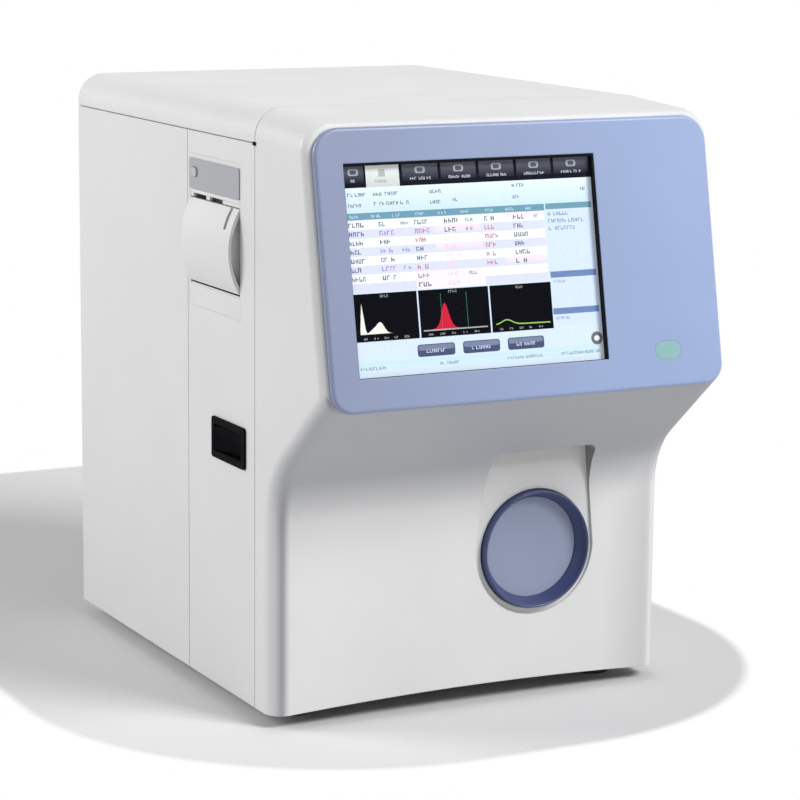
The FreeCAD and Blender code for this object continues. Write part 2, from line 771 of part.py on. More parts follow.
def service_door():
    """Right door: a sheet with turned-in edges and two hinge pins."""
    skin_x = (HALF - PANEL_WALL, HALF)
    skin = soft_block(skin_x, SERVICE_Y, SERVICE_Z, SERVICE_CORNER_R, V(1, 0, 0))
    x, y = service_axis()
    free_y = SERVICE_Y[0] + PANEL_WALL
    rib_x = (HALF - SERVICE_RETURN, HALF - PANEL_WALL)
    rear_y = y - SERVICE_AXIS_BACK
    parts = [skin]
    lip_z = grown(SERVICE_Z, -SERVICE_CORNER_R)
    parts.append(block(rib_x, (free_y, free_y + PANEL_WALL), lip_z))
    for z in (SERVICE_Z[0] + SERVICE_CORNER_R, SERVICE_Z[1] - SERVICE_CORNER_R):
        parts.append(block(rib_x, (free_y, rear_y), span(z, PANEL_WALL)))
    for z, side in ((SERVICE_Z[0], -1), (SERVICE_Z[1], 1)):
        inner = z - side * SERVICE_LUG
        hub_x = (x - SERVICE_PIN_R, HALF - PANEL_WALL)
        parts.append(block(hub_x, span(y, 2 * SERVICE_PIN_R), sorted((inner, z))))
        parts.append(rod(SERVICE_PIN_R, V(x, y, inner), V(x, y, z + side * SERVICE_PIN_LONG)))
    body = joined(parts)
    bore = LATCH_R + LATCH_GAP
    latch_y = SERVICE_Y[0] + LATCH_BACK
    hole = rod(bore, V(skin_x[0] - OVERRUN, latch_y, LATCH_Z), V(HALF + OVERRUN, latch_y, LATCH_Z))
    return body.cut(hole)


def door_latch():
    """Quarter-turn latch: a slotted head and a cam behind the sheet, drawn unlocked."""
    y = SERVICE_Y[0] + LATCH_BACK
    inner = HALF - SERVICE_RETURN
    stem = rod(LATCH_R, V(inner, y, LATCH_Z), V(HALF, y, LATCH_Z))
    half = LATCH_CAM_WIDE / 2
    cam_x = (inner - LATCH_CAM_THICK, inner)
    cam = block(cam_x, span(y, LATCH_CAM_WIDE), (LATCH_Z - half, LATCH_Z + LATCH_CAM))
    slot_x = (HALF - LATCH_HEAD, HALF + OVERRUN)
    slot = block(slot_x, span(y, LATCH_SLOT), span(LATCH_Z, 2 * LATCH_R))
    return joined([stem, cam]).cut(slot)


def base_pan():
    """Steel tray that the feet, the frame and the heavy parts stand on."""
    half = HALF - PANEL_WALL
    depth = (SEAM_Y + PAN_FRONT_Y, BODY_DEEP - PANEL_WALL)
    tray = block((-half, half), depth, (PAN_Z, PAN_Z + PAN_FLANGE))
    hollow = block(
        (PAN_WALL - half, half - PAN_WALL),
        grown(depth, -PAN_WALL),
        (PAN_Z + PAN_WALL, BODY_TALL),
    )
    tongue_half = HALF - SHELL_WALL
    tongue = block((-tongue_half, tongue_half), (PAN_TONGUE_Y, depth[0]), (PAN_Z, PAN_Z + PAN_WALL))
    return joined([tray.cut(hollow), tongue])


def rubber_feet():
    """Four round feet under the pan."""
    feet = []
    for x in (-FOOT_X, FOOT_X):
        for y in FOOT_Y:
            feet.append(rod(FOOT_R, V(x, y, 0), V(x, y, PAN_Z)))
    return Part.makeCompound(feet)


def rear_panel():
    """Rear sheet with its vents and the holes for the fittings."""
    depth = (BODY_DEEP - PANEL_WALL, BODY_DEEP)
    sheet = arch(PANEL_WALL, depth, PAN_Z)
    through = grown(depth, OVERRUN)
    cuts = guard_slots(through)
    cuts.append(block(span(INLET_X, INLET_WIDE), through, span(INLET_Z, INLET_TALL)))
    for x in PORT_X:
        cuts.append(rod(PORT_R, *[V(x, y, PORT_Z) for y in through]))
    cuts.append(block(SOCKET_X, through, socket_column()))
    step = (VENT_Z[1] - VENT_Z[0]) / (VENT_COUNT - 1)
    for row in range(VENT_COUNT):
        slot = span(VENT_Z[0] + row * step, VENT_TALL)
        cuts.append(block((VENT_X, VENT_X + VENT_LONG), through, slot))
    return less(sheet, cuts)


def guard_slots(y_ends):
    """Curved slots in front of the fan, with a cross of spokes left between them."""
    spokes = []
    for turn in (1, -1):
        long = 2 * (GUARD_SLOTS[-1][1] + OVERRUN)
        spoke = block(span(FAN_X, GUARD_SPOKE), grown(y_ends, OVERRUN), span(FAN_Z, long))
        spoke.rotate(V(FAN_X, 0, FAN_Z), V(0, 1, 0), 45 * turn)
        spokes.append(spoke)
    slots = []
    for inner, outer in GUARD_SLOTS:
        ring = rod(outer, *[V(FAN_X, y, FAN_Z) for y in y_ends])
        ring = ring.cut(rod(inner, *[V(FAN_X, y, FAN_Z) for y in grown(y_ends, OVERRUN)]))
        slots.append(less(ring, spokes))
    return slots


def socket_levels():
    """Heights of the row of data sockets."""
    return [SOCKET_Z + step * SOCKET_STEP for step in range(SOCKET_COUNT)]


def socket_column():
    """Lower and upper end of the block that holds the data sockets."""
    levels = socket_levels()
    return grown((levels[0], levels[-1]), SOCKET_TALL / 2)


def mid_frame():
    """Upright sheet between the electronics and the fluid parts."""
    x_ends = (FRAME_X, FRAME_X + FRAME_SHEET)
    rear = BODY_DEEP - PANEL_WALL
    floor, roof = PAN_Z + PAN_WALL, BODY_TALL - PANEL_WALL
    depth = (FRAME_FRONT_Y + SEAM_Y, rear - FRAME_REAR_GAP)
    sheet = block(x_ends, depth, (floor, roof))
    flange_x = (FRAME_X, FRAME_X + FRAME_FLANGE)
    foot = block(flange_x, depth, (floor, floor + FRAME_SHEET))
    head = block(flange_x, depth, (roof - FRAME_SHEET, roof))
    horn = block(x_ends, (FRAME_FRONT_Y, depth[0]), grown(RAIL_Z, MOTOR_SIZE))
    through = grown(x_ends, OVERRUN)
    holes = [rod(PULLEY_SHAFT_R + RAIL_GAP, *[V(x, PULLEY_Y[0], BELT_Z) for x in through])]
    for y in (SYRINGE_Y[0], SYRINGE_Y[2], VALVE_Y[0]):
        holes.append(rod(FRAME_HOLE_R, *[V(x, y, FRAME_HOLE_Z) for x in through]))
    return less(joined([sheet, foot, head, horn, bath_shelf()]), holes)


def key_rim():
    """Coloured ring of the aspirate key."""
    front = POCKET_DEEP - KEY_PROUD
    lip = KEY_R - KEY_MOUTH_R
    rear = KEY_RIM_DEEP
    dish = KEY_DISH
    outline = [
        (KEY_MOUTH_R, 0),
        (KEY_R, 0),
        (KEY_R, rear),
        (KEY_DISH_R, rear),
        (KEY_DISH_R, dish - lip),
    ]
    return turned(outline, V(KEY_X, front, KEY_Z), V(0, 1, 0))


def key_face():
    """Disc of the aspirate key, with the stem behind it."""
    front = POCKET_DEEP - KEY_PROUD
    centre = V(KEY_X, front + KEY_DISH, KEY_Z)
    disc = rod(KEY_DISH_R, centre, centre.add(V(0, KEY_DISC_WALL, 0)))
    return joined([disc, rod(KEY_STEM_R, centre, centre.add(V(0, KEY_STEM, 0)))])


def key_back_y():
    """Depth of the rear side of the key disc."""
    return POCKET_DEEP - KEY_PROUD + KEY_DISH + KEY_DISC_WALL


def key_spring():
    """Coil that pushes the key out."""
    start, end = key_back_y() + SPRING_WIRE_R, BRACKET_Y - SPRING_WIRE_R
    height = end - start
    helix = Part.makeHelix(height / SPRING_TURNS, height, SPRING_COIL_R)
    corners = []
    for turn in range(SPRING_SIDES + 1):
        angle = 2 * math.pi * turn / SPRING_SIDES
        out, up = SPRING_WIRE_R * math.cos(angle), SPRING_WIRE_R * math.sin(angle)
        corners.append(V(SPRING_COIL_R + out, 0, up))
    section = Part.Wire(Part.makePolygon(corners).Edges)
    wire = Part.Wire(helix.Edges).makePipeShell([section], True, True)
    turn = FreeCAD.Rotation(V(0, 0, 1), V(0, 1, 0))
    wire.Placement = FreeCAD.Placement(V(KEY_X, start, KEY_Z), turn)
    return wire


def key_bracket():
    """Bent bracket with the bush that guides the key stem."""
    x_ends = (KEY_X - BRACKET_HALF, KEY_X + BRACKET_HALF)
    plate = block(x_ends, (BRACKET_Y, BRACKET_Y + BRACKET_SHEET), span(KEY_Z, BRACKET_TALL))
    rear = BRACKET_Y + BRACKET_DEEP
    arm_z = span(KEY_Z, BRACKET_ARM_TALL)
    arms = []
    for side in (-1, 1):
        outer = KEY_X + side * BRACKET_ARM_TALL
        arm_x = sorted((outer, outer - side * BRACKET_SHEET))
        arms.append(block(arm_x, (BRACKET_Y, rear), arm_z))
    back = block(span(KEY_X, 2 * BRACKET_ARM_TALL), (rear - BRACKET_SHEET, rear), arm_z)
    bush = rod(BUSH_R, V(KEY_X, BRACKET_Y, KEY_Z), V(KEY_X, BRACKET_Y + BUSH_BEHIND, KEY_Z))
    bore = KEY_STEM_R + BUSH_GAP
    y_ends = (BRACKET_Y - OVERRUN, BRACKET_Y + BUSH_BEHIND + OVERRUN)
    hole = rod(bore, *[V(KEY_X, y, KEY_Z) for y in y_ends])
    return joined([plate, back, bush] + arms).cut(hole)


def key_switch():
    """Small switch behind the key stem."""
    rear = BRACKET_Y + BRACKET_DEEP - BRACKET_SHEET
    button = POCKET_DEEP - KEY_PROUD + KEY_DISH + KEY_STEM + SWITCH_CLEAR
    body_y = button + (rear - button) / 2
    body = block(span(KEY_X, SWITCH_BODY), (body_y, rear), span(KEY_Z, SWITCH_BODY / 2))
    return joined([body, rod(SWITCH_BUTTON_R, V(KEY_X, button, KEY_Z), V(KEY_X, body_y, KEY_Z))])


def printer_frame():
    """Open box of the printer, let into the side panel."""
    face = -HALF
    x_ends = (face, face + PRINTER_DEEP)
    box = block(x_ends, PRINTER_Y, PRINTER_Z)
    wall = PRINTER_WALL
    inner_y = grown(PRINTER_Y, -wall)
    hollow = block((face - OVERRUN, x_ends[1] - wall), inner_y, (PRINTER_Z[0] + wall, FASCIA_Z[0]))
    upper = block(
        (face - OVERRUN, face + FEED_KEY_DEEP + FASCIA_WALL),
        grown(PRINTER_Y, -wall),
        FASCIA_Z,
    )
    sill = block((face, face + DOOR_AXIS_IN), inner_y, (PRINTER_Z[0] + wall, DOOR_Z[0] - DOOR_SILL_GAP))
    body = joined([less(box, [hollow, upper]), sill])
    x, z = printer_axis()
    pin = DOOR_PIN_R + DOOR_PIN_GAP
    bore = rod(pin, V(x, PRINTER_Y[0] + DOOR_PIN_GAP, z), V(x, PRINTER_Y[1] - DOOR_PIN_GAP, z))
    pegs = []
    middle = sum(PRINTER_Y) / 2
    for side in (-1, 1):
        wall_y = middle + side * (PRINTER_Y[1] - PRINTER_Y[0]) / 2 - side * wall
        end_y = middle + side * (PAPER_WIDE / 2 - PAPER_PIN)
        x_roll = face + PAPER_IN
        pegs.append(rod(PAPER_PIN_R, V(x_roll, wall_y, PAPER_Z), V(x_roll, end_y, PAPER_Z)))
    return joined([body.cut(bore)] + pegs)


def printer_axis():
    """Where the hinge line of the printer door lies."""
    return -HALF + DOOR_AXIS_IN, DOOR_Z[0] + DOOR_AXIS_UP


def printer_fascia():
    """Grey strip over the printer door."""
    y_ends = grown(PRINTER_Y, -PRINTER_WALL)
    x_ends = (-HALF - FASCIA_PROUD, -HALF + FASCIA_WALL)
    strip = soft_block(x_ends, y_ends, FASCIA_Z, FASCIA_WALL / 2, V(1, 0, 0))
    through = grown(x_ends, OVERRUN)
    gap = FEED_KEY_GAP
    y, z = span(FEED_KEY_Y, FEED_KEY_WIDE), span(FEED_KEY_Z, FEED_KEY_TALL)
    corner = FEED_KEY_TALL / 2 - gap
    hole = soft_block(through, grown(y, gap), grown(z, gap), corner, V(1, 0, 0))
    return strip.cut(hole)


def feed_key():
    """Small oval paper feed key."""
    y, z = span(FEED_KEY_Y, FEED_KEY_WIDE), span(FEED_KEY_Z, FEED_KEY_TALL)
    front = -HALF - FASCIA_PROUD - FEED_KEY_PROUD
    x_ends = (front, -HALF + FEED_KEY_DEEP)
    return soft_block(x_ends, y, z, FEED_KEY_TALL / 2 - FEED_KEY_GAP, V(1, 0, 0))


def printer_door():
    """Bulged door of the printer with cheeks that carry the platen."""
    y_ends = grown(PRINTER_Y, -(PRINTER_WALL + DOOR_GAP))
    z0, z1 = DOOR_Z
    face, bulge = -HALF, -HALF - DOOR_BULGE
    wall = DOOR_WALL

    def curved(depth):
        points = [
            V(face + depth, y_ends[0], z0 + depth),
            V(bulge + depth, y_ends[0], (z0 + z1) / 2),
            V(face + depth, y_ends[0], z1 - depth),
        ]
        return Part.Arc(*points).toShape()

    outer, inner = curved(0), curved(wall)
    closing = []
    for index in (0, -1):
        a = outer.Vertexes[index].Point
        b = inner.Vertexes[index].Point
        corner = V(b.x, b.y, a.z)
        closing.append((a, corner, b))
    edges = [outer, inner]
    for a, corner, b in closing:
        edges.append(Part.LineSegment(a, corner).toShape())
        edges.append(Part.LineSegment(corner, b).toShape())
    skin = Part.Face(Part.Wire(Part.sortEdges(edges)[0])).extrude(V(0, y_ends[1] - y_ends[0], 0))
    x, z = printer_axis()
    platen_x = -HALF + PLATEN_IN
    parts = [skin]
    inset = CHEEK_INSET
    for start, side in ((y_ends[0] + inset, 1), (y_ends[1] - inset, -1)):
        depth = sorted((start, start + side * DOOR_CHEEK))
        cheek = [
            (bulge + wall, (z0 + z1) / 2),
            (face + OVERRUN, z0),
            (x + DOOR_AXIS_IN, z0),
            (x + DOOR_AXIS_IN, z + DOOR_AXIS_IN),
            (platen_x + PLATEN_R, PLATEN_Z - PLATEN_R),
            (platen_x + PLATEN_R, PLATEN_Z + PLATEN_SHAFT_R),
            (platen_x, PLATEN_Z + PLATEN_R),
            (face + OVERRUN, z1 - wall),
        ]
        parts.append(prism_y(cheek, depth))
    body = joined(parts)
    body = body.cut(rod(PLATEN_SHAFT_R + PLATEN_GAP, *platen_ends(OVERRUN)))
    pins = []
    for start, side in ((y_ends[0] + inset, -1), (y_ends[1] - inset, 1)):
        end = start + side * (inset + DOOR_GAP + PRINTER_WALL - 2 * DOOR_PIN_GAP)
        pins.append(rod(DOOR_PIN_R, V(x, start, z), V(x, end, z)))
    notch_z = (z1 - NOTCH_TALL, z1 + OVERRUN)
    notch = block((bulge - OVERRUN, face + OVERRUN), span(NOTCH_Y, NOTCH_WIDE), notch_z)
    return joined([body.cut(notch)] + pins)


def platen_ends(extra):
    """The two ends of the platen shaft, each drawn out by a length."""
    y_ends = grown(PRINTER_Y, -(PRINTER_WALL + DOOR_GAP + CHEEK_INSET) + extra)
    x = -HALF + PLATEN_IN
    return [V(x, y, PLATEN_Z) for y in y_ends]


def platen_roller():
    """Rubber roller that draws the paper."""
    middle = sum(PRINTER_Y) / 2
    x = -HALF + PLATEN_IN
    body = [V(x, y, PLATEN_Z) for y in span(middle, PLATEN_WIDE)]
    return joined([rod(PLATEN_R, *body), rod(PLATEN_SHAFT_R, *platen_ends(0))])


def gear(teeth, bore, centre, turn):
    """A small spur gear across the printer, with curved tooth flanks."""
    pitch = GEAR_MODULE * teeth / 2
    root, tip = pitch - GEAR_MODULE * 5 / 4, pitch + GEAR_MODULE
    step = 2 * math.pi / teeth
    widths = tuple(zip((root, pitch, tip), gear_tooth_shares))

    def at(radius, angle):
        return V(radius * math.sin(angle), 0, radius * math.cos(angle))

    edges = []
    for tooth in range(teeth):
        middle = tooth * step + math.radians(turn)
        left = [at(radius, middle - share * step / 2) for radius, share in widths]
        right = [at(radius, middle + share * step / 2) for radius, share in widths]
        following = at(root, middle + step - widths[0][1] * step / 2)
        edges.append(Part.Arc(*left).toShape())
        edges.append(Part.LineSegment(left[2], right[2]).toShape())
        edges.append(Part.Arc(*right).toShape())
        edges.append(Part.LineSegment(right[0], following).toShape())
    face = Part.Face(Part.Wire(Part.sortEdges(edges)[0]))
    body = face.extrude(V(0, GEAR_FACE, 0))
    body.translate(centre)
    hole = rod(bore, centre.sub(V(0, OVERRUN, 0)), centre.add(V(0, GEAR_FACE + OVERRUN, 0)))
    return body.cut(hole)


def gear_y():
    """Depth at which both printer gears stand."""
    return sum(PRINTER_Y) / 2 - PLATEN_WIDE / 2 - GEAR_FACE


def platen_gear():
    """Gear on the platen shaft."""
    centre = V(-HALF + PLATEN_IN, gear_y(), PLATEN_Z)
    return gear(PLATEN_TEETH, PLATEN_SHAFT_R, centre, GEAR_MESH_ANGLE)


def drive_centre():
    """Centre of the driving gear, beside the platen gear."""
    distance = GEAR_MODULE * (PLATEN_TEETH + DRIVE_TEETH) / 2 + GEAR_SLACK
    return V(-HALF + PLATEN_IN + distance, gear_y(), PLATEN_Z)


def drive_gear():
    """Driving gear of the printer with its shaft into the printer frame."""
    half_tooth = 180 / DRIVE_TEETH
    centre = drive_centre()
    wheel = gear(DRIVE_TEETH, PLATEN_SHAFT_R, centre, GEAR_MESH_ANGLE + half_tooth)
    far = V(centre.x, PRINTER_Y[0] + PRINTER_WALL + DOOR_PIN_GAP, centre.z)
    return joined([wheel, rod(PLATEN_SHAFT_R, far, centre.add(V(0, GEAR_FACE, 0)))])


def print_head():
    """Print head bar on a shelf behind the platen."""
    x = -HALF + PLATEN_IN + PLATEN_R + HEAD_GAP
    middle = sum(PRINTER_Y) / 2
    top = FASCIA_Z[0]
    lower = top - HEAD_TALL / 3
    bar = block((x, x + HEAD_DEEP), span(middle, PLATEN_WIDE), (lower - HEAD_TALL, lower))
    rear = -HALF + PRINTER_DEEP - PRINTER_WALL
    shelf = block((x, rear), span(middle, PLATEN_WIDE), (lower, top))
    return joined([bar, shelf])


def paper_roll():
    """Roll of thermal paper on two pegs."""
    x = -HALF + PAPER_IN
    ends = [V(x, y, PAPER_Z) for y in span(sum(PRINTER_Y) / 2, PAPER_WIDE)]
    return rod(PAPER_R, *ends).cut(rod(PAPER_CORE_R, *ends))


def switch_frame():
    """Black frame of the power switch, clipped into the side panel."""
    flange_x = (-HALF - BEZEL_PROUD, -HALF)
    flange = soft_block(flange_x, ROCKER_Y, ROCKER_Z, BEZEL_WALL, V(1, 0, 0))
    body_y, body_z = grown(ROCKER_Y, -BEZEL_LIP), grown(ROCKER_Z, -BEZEL_LIP)
    body = block((-HALF, -HALF + SWITCH_DEEP), body_y, body_z)
    well_x = (flange_x[0] - OVERRUN, -HALF + ROCKER_DEEP * 2)
    wall = BEZEL_LIP + BEZEL_WALL
    well = block(well_x, grown(ROCKER_Y, -wall), grown(ROCKER_Z, -wall))
    x, y = rocker_axis()
    bore_z = grown(ROCKER_Z, -wall + ROCKER_PIN_R)
    bore = rod(ROCKER_PIN_R + BUSH_GAP, V(x, y, bore_z[0]), V(x, y, bore_z[1]))
    return less(joined([flange, body]), [well, bore])


def rocker_axis():
    """Where the upright hinge line of the rocker stands."""
    return -HALF + ROCKER_AXIS_IN, sum(ROCKER_Y) / 2


def switch_rocker():
    """Rocker of the power switch, drawn in its off position."""
    x, y = rocker_axis()
    wall = BEZEL_LIP + BEZEL_WALL + ROCKER_GAP
    half = (ROCKER_Y[1] - ROCKER_Y[0]) / 2 - wall
    z_ends = grown(ROCKER_Z, -wall)
    dip = half * math.tan(math.radians(ROCKER_TILT))
    front = x - ROCKER_DEEP
    half = half * math.cos(math.radians(ROCKER_TILT)) - ROCKER_GAP
    outline = [(front + dip, y), (front, y - half), (x - ROCKER_GAP, y - half)]
    outline += [(x + ROCKER_AXIS_IN, y), (x - ROCKER_GAP, y + half), (front, y + half)]
    body = prism_z(outline, z_ends)
    pins_z = grown(z_ends, ROCKER_GAP + ROCKER_PIN_R - BUSH_GAP)
    body = joined([body, rod(ROCKER_PIN_R, V(x, y, pins_z[0]), V(x, y, pins_z[1]))])
    body.rotate(V(x, y, 0), V(0, 0, 1), ROCKER_TILT)
    return body


def probe_rails():
    """Two level rods on a pair of end plates, for the probe carriage."""
    rods = [rod(RAIL_R, *[V(RAIL_X, y, z) for y in RAIL_Y]) for z in RAIL_Z]
    x_ends = (FRAME_X + FRAME_SHEET, RAIL_X + RAIL_R + BRIDGE_THICK)
    parts = []
    for y in (RAIL_Y[0], RAIL_Y[1] - BRIDGE_DEEP):
        plate_z = grown(RAIL_Z, RAIL_R + BRIDGE_THICK)
        slot_x = (BELT_X - PULLEY_WIDE, BELT_X + PULLEY_WIDE)
        depth = (y, y + BRIDGE_DEEP)
        window = block(slot_x, grown(depth, OVERRUN), span(BELT_Z, 3 * PULLEY_FLANGE_R))
        parts.append(block(x_ends, depth, plate_z).cut(window))
    ear = block(
        (FRAME_X + FRAME_SHEET, BELT_X - PULLEY_WIDE),
        (PULLEY_Y[1] - PULLEY_FLANGE_R, RAIL_Y[1]),
        span(BELT_Z, 2 * PULLEY_R),
    )
    shaft = [V(x, PULLEY_Y[1], BELT_Z) for x in (BELT_X - PULLEY_WIDE, BELT_X + PULLEY_WIDE / 2)]
    return joined(parts + rods + [ear, rod(PULLEY_SHAFT_R, *shaft)])


def carriage_block():
    """Carriage on the two level rods, with the upright guide for the probe."""
    lobes = []
    for z in RAIL_Z:
        lobes.append(block(CARRIAGE_X, CARRIAGE_Y, span(z, CARRIAGE_LOBE)))
    plate_x = (CARRIAGE_X[1] - CARRIAGE_SHEET, CARRIAGE_X[1])
    plate = block(plate_x, CARRIAGE_Y, grown(RAIL_Z, CARRIAGE_LOBE / 2))
    front_y = LIFT_Y[0]
    arms = []
    for z, side in ((GUIDE_Z[0], 1), (GUIDE_Z[1], -1)):
        arm_x = (plate_x[0], GUIDE_X + 2 * GUIDE_R)
        arm_z = sorted((z, z + side * 2 * CARRIAGE_SHEET))
        arms.append(block(arm_x, (front_y, CARRIAGE_Y[1]), arm_z))
    web_y = (GUIDE_Y + LIFT_Y[1], CARRIAGE_Y[1])
    web = block(plate_x, web_y, GUIDE_Z)
    guide = rod(GUIDE_R, *[V(GUIDE_X, GUIDE_Y, z) for z in GUIDE_Z])
    shelf_x = (plate_x[0], KEY_X + WIPE_HALF)
    shelf_y = (PROBE_Y - WIPE_HALF, LIFT_Y[1])
    shelf = block(shelf_x, shelf_y, (WIPE_Z[1], WIPE_Z[1] + 2 * CARRIAGE_SHEET))
    cuts = []
    for z in RAIL_Z:
        ends = [V(RAIL_X, y, z) for y in grown(CARRIAGE_Y, OVERRUN)]
        cuts.append(rod(RAIL_R + RAIL_GAP, *ends))
    probe = [V(KEY_X, PROBE_Y, z) for z in grown(GUIDE_Z, OVERRUN)]
    cuts.append(rod(WIPE_BORE_R, *probe))
    tab_z = BELT_Z + PULLEY_FLANGE_R + BELT_GAP
    tab_y = (CARRIAGE_Y[1] - CARRIAGE_LOBE / 2, CARRIAGE_Y[1])
    tab = block((BELT_X - BELT_WIDE / 2, plate_x[1]), tab_y, (tab_z, tab_z + CARRIAGE_SHEET))
    return less(joined(lobes + [plate, web, guide, shelf, tab] + arms), cuts)


def probe_wipe():
    """Rinsing block under the carriage through which the probe passes."""
    body = block(span(KEY_X, 2 * WIPE_HALF), span(PROBE_Y, 2 * WIPE_HALF), WIPE_Z)
    return body.cut(rod(WIPE_BORE_R, *[V(KEY_X, PROBE_Y, z) for z in grown(WIPE_Z, OVERRUN)]))


def probe_lifter():
    """Block that slides on the upright guide and holds the probe."""
    body = block(LIFT_X, LIFT_Y, LIFT_Z)
    bore = GUIDE_R + RAIL_GAP
    guide = rod(bore, *[V(GUIDE_X, GUIDE_Y, z) for z in grown(LIFT_Z, OVERRUN)])
    probe = rod(PROBE_R, *[V(KEY_X, PROBE_Y, z) for z in grown(LIFT_Z, OVERRUN)])
    return less(body, [guide, probe])


def sample_probe():
    """Thin steel tube with a bevelled tip."""
    tip = PROBE_TIP_Z + 2 * PROBE_R
    tube = rod(PROBE_R, V(KEY_X, PROBE_Y, tip), V(KEY_X, PROBE_Y, PROBE_TOP_Z))
    point = Part.makeCone(PROBE_R / 2, PROBE_R, 2 * PROBE_R, V(KEY_X, PROBE_Y, PROBE_TIP_Z))
    return joined([tube, point])


def pulley(y, shaft_ends, bore):
    """A flanged belt pulley, with a shaft or a bore."""
    half = PULLEY_WIDE / 2
    lip = (PULLEY_WIDE - BELT_WIDE) / 2 - BELT_GAP
    outline = [(0, -half), (PULLEY_FLANGE_R, -half), (PULLEY_FLANGE_R, lip - half)]
    outline += [(PULLEY_R, lip - half), (PULLEY_R, half), (0, half)]
    body = turned(outline, V(BELT_X, y, BELT_Z), V(1, 0, 0))
    ends = [V(x, y, BELT_Z) for x in shaft_ends]
    if bore:
        return body.cut(rod(PULLEY_SHAFT_R + RAIL_GAP, *ends))
    return joined([body, rod(PULLEY_SHAFT_R, *ends)])


def drive_pulley():
    """Motor pulley of the carriage belt."""
    return pulley(PULLEY_Y[0], (FRAME_X, BELT_X), False)


def idler_pulley():
    """Rear pulley of the carriage belt, free on its shaft."""
    half = PULLEY_WIDE / 2 + OVERRUN
    return pulley(PULLEY_Y[1], (BELT_X - half, BELT_X + half), True)


def carriage_belt():
    """Flat belt round both pulleys."""
    x_ends = span(BELT_X, BELT_WIDE)

    def loop(radius, ends):
        upper = block(ends, PULLEY_Y, span(BELT_Z, 2 * radius))
        rounds = []
        for y in PULLEY_Y:
            rounds.append(rod(radius, *[V(x, y, BELT_Z) for x in ends]))
        return joined([upper] + rounds)

    inner = PULLEY_R + BELT_GAP
    return loop(inner + BELT_THICK, x_ends).cut(loop(inner, grown(x_ends, OVERRUN)))


def carriage_motor():
    """Stepping motor that drives the belt, on the left face of the frame."""
    x_ends = (FRAME_X - MOTOR_LONG, FRAME_X)
    body = soft_block(
        x_ends,
        span(PULLEY_Y[0], MOTOR_SIZE),
        span(BELT_Z, MOTOR_SIZE),
        MOTOR_ROUND,
        V(1, 0, 0),
    )
    bore = [V(x, PULLEY_Y[0], BELT_Z) for x in (FRAME_X - PULLEY_WIDE, FRAME_X + OVERRUN)]
    return body.cut(rod(PULLEY_SHAFT_R + RAIL_GAP, *bore))


def bath(y):
    """Counting bath: a cup with a drain neck and an aperture housing on its side."""
    floor = BATH_Z[0] + BATH_FLOOR
    outline = [
        (0, BATH_Z[0] - BATH_NECK),
        (BATH_NECK_R, BATH_Z[0] - BATH_NECK),
        (BATH_NECK_R, BATH_Z[0]),
        (BATH_R, BATH_Z[0]),
        (BATH_R, BATH_Z[1]),
        (0, BATH_Z[1]),
    ]
    cup = turned(outline, V(KEY_X, y, 0), V(0, 0, 1))
    level = sum(BATH_Z) / 2
    housing_x = (KEY_X, KEY_X + APERTURE_REACH)
    housing = block(housing_x, span(y, 2 * APERTURE_R), span(level, 2 * APERTURE_R))
    inside = rod(BATH_CUP_R, V(KEY_X, y, floor), V(KEY_X, y, BATH_Z[1] + OVERRUN))
    return joined([cup, housing]).cut(inside)


def wbc_bath():
    """Counting bath nearer the front."""
    return bath(BATH_Y[0])


def rbc_bath():
    """Counting bath nearer the rear."""
    return bath(BATH_Y[1])


def bath_shelf():
    """Bent shelf, welded to the frame, that carries both baths."""
    x0 = FRAME_X + FRAME_SHEET
    x1 = KEY_X + BATH_R + BRIDGE_DEEP
    y_ends = grown(BATH_Y, BATH_R + BRIDGE_DEEP)
    top = BATH_Z[0]
    shelf = block((x0, x1), y_ends, (top - CARRIAGE_SHEET, top))
    leg = block((x0, x0 + CARRIAGE_SHEET), y_ends, (BATH_FOOT_Z, top))
    holes = []
    for y in BATH_Y:
        holes.append(rod(BATH_NECK_R, V(KEY_X, y, BATH_FOOT_Z), V(KEY_X, y, top + OVERRUN)))
    return less(joined([shelf, leg]), holes)


def syringe_frame():
    """Upright plate with shelves for the syringes and the screw."""
    x_ends = (STAND_X, STAND_X + STAND_SHEET)
    plate = block(x_ends, STAND_Y, STAND_Z)
    shelf_x = (STAND_X, STAND_X + STAND_SHELF_DEEP)
    lower = (SYRINGE_Z[0] - STAND_SHEET, SYRINGE_Z[0])
    upper = (SYRINGE_Z[1], SYRINGE_Z[1] + STAND_SHEET)
    foot = (STAND_Z[0], STAND_Z[0] + STAND_SHEET)
    shelves = [block(shelf_x, STAND_Y, ends) for ends in (lower, upper, foot)]
    cuts = []
    for y, radius in zip(SYRINGE_Y, SYRINGE_R):
        ends = [V(SYRINGE_X, y, z) for z in grown(lower, OVERRUN)]
        cuts.append(rod(radius - SYRINGE_WALL, *ends))
    cuts.append(rod(SCREW_BORE_R, *[V(SYRINGE_X, SCREW_Y, z) for z in grown(lower, OVERRUN)]))
    return less(joined([plate] + shelves), cuts)


def syringe_barrels():
    """Three glass barrels between the shelves."""
    barrels = []
    for y, radius in zip(SYRINGE_Y, SYRINGE_R):
        ends = [V(SYRINGE_X, y, z) for z in SYRINGE_Z]
        inner = [V(SYRINGE_X, y, z) for z in grown(SYRINGE_Z, OVERRUN)]
        barrels.append(rod(radius, *ends).cut(rod(radius - SYRINGE_WALL, *inner)))
    return Part.makeCompound(barrels)


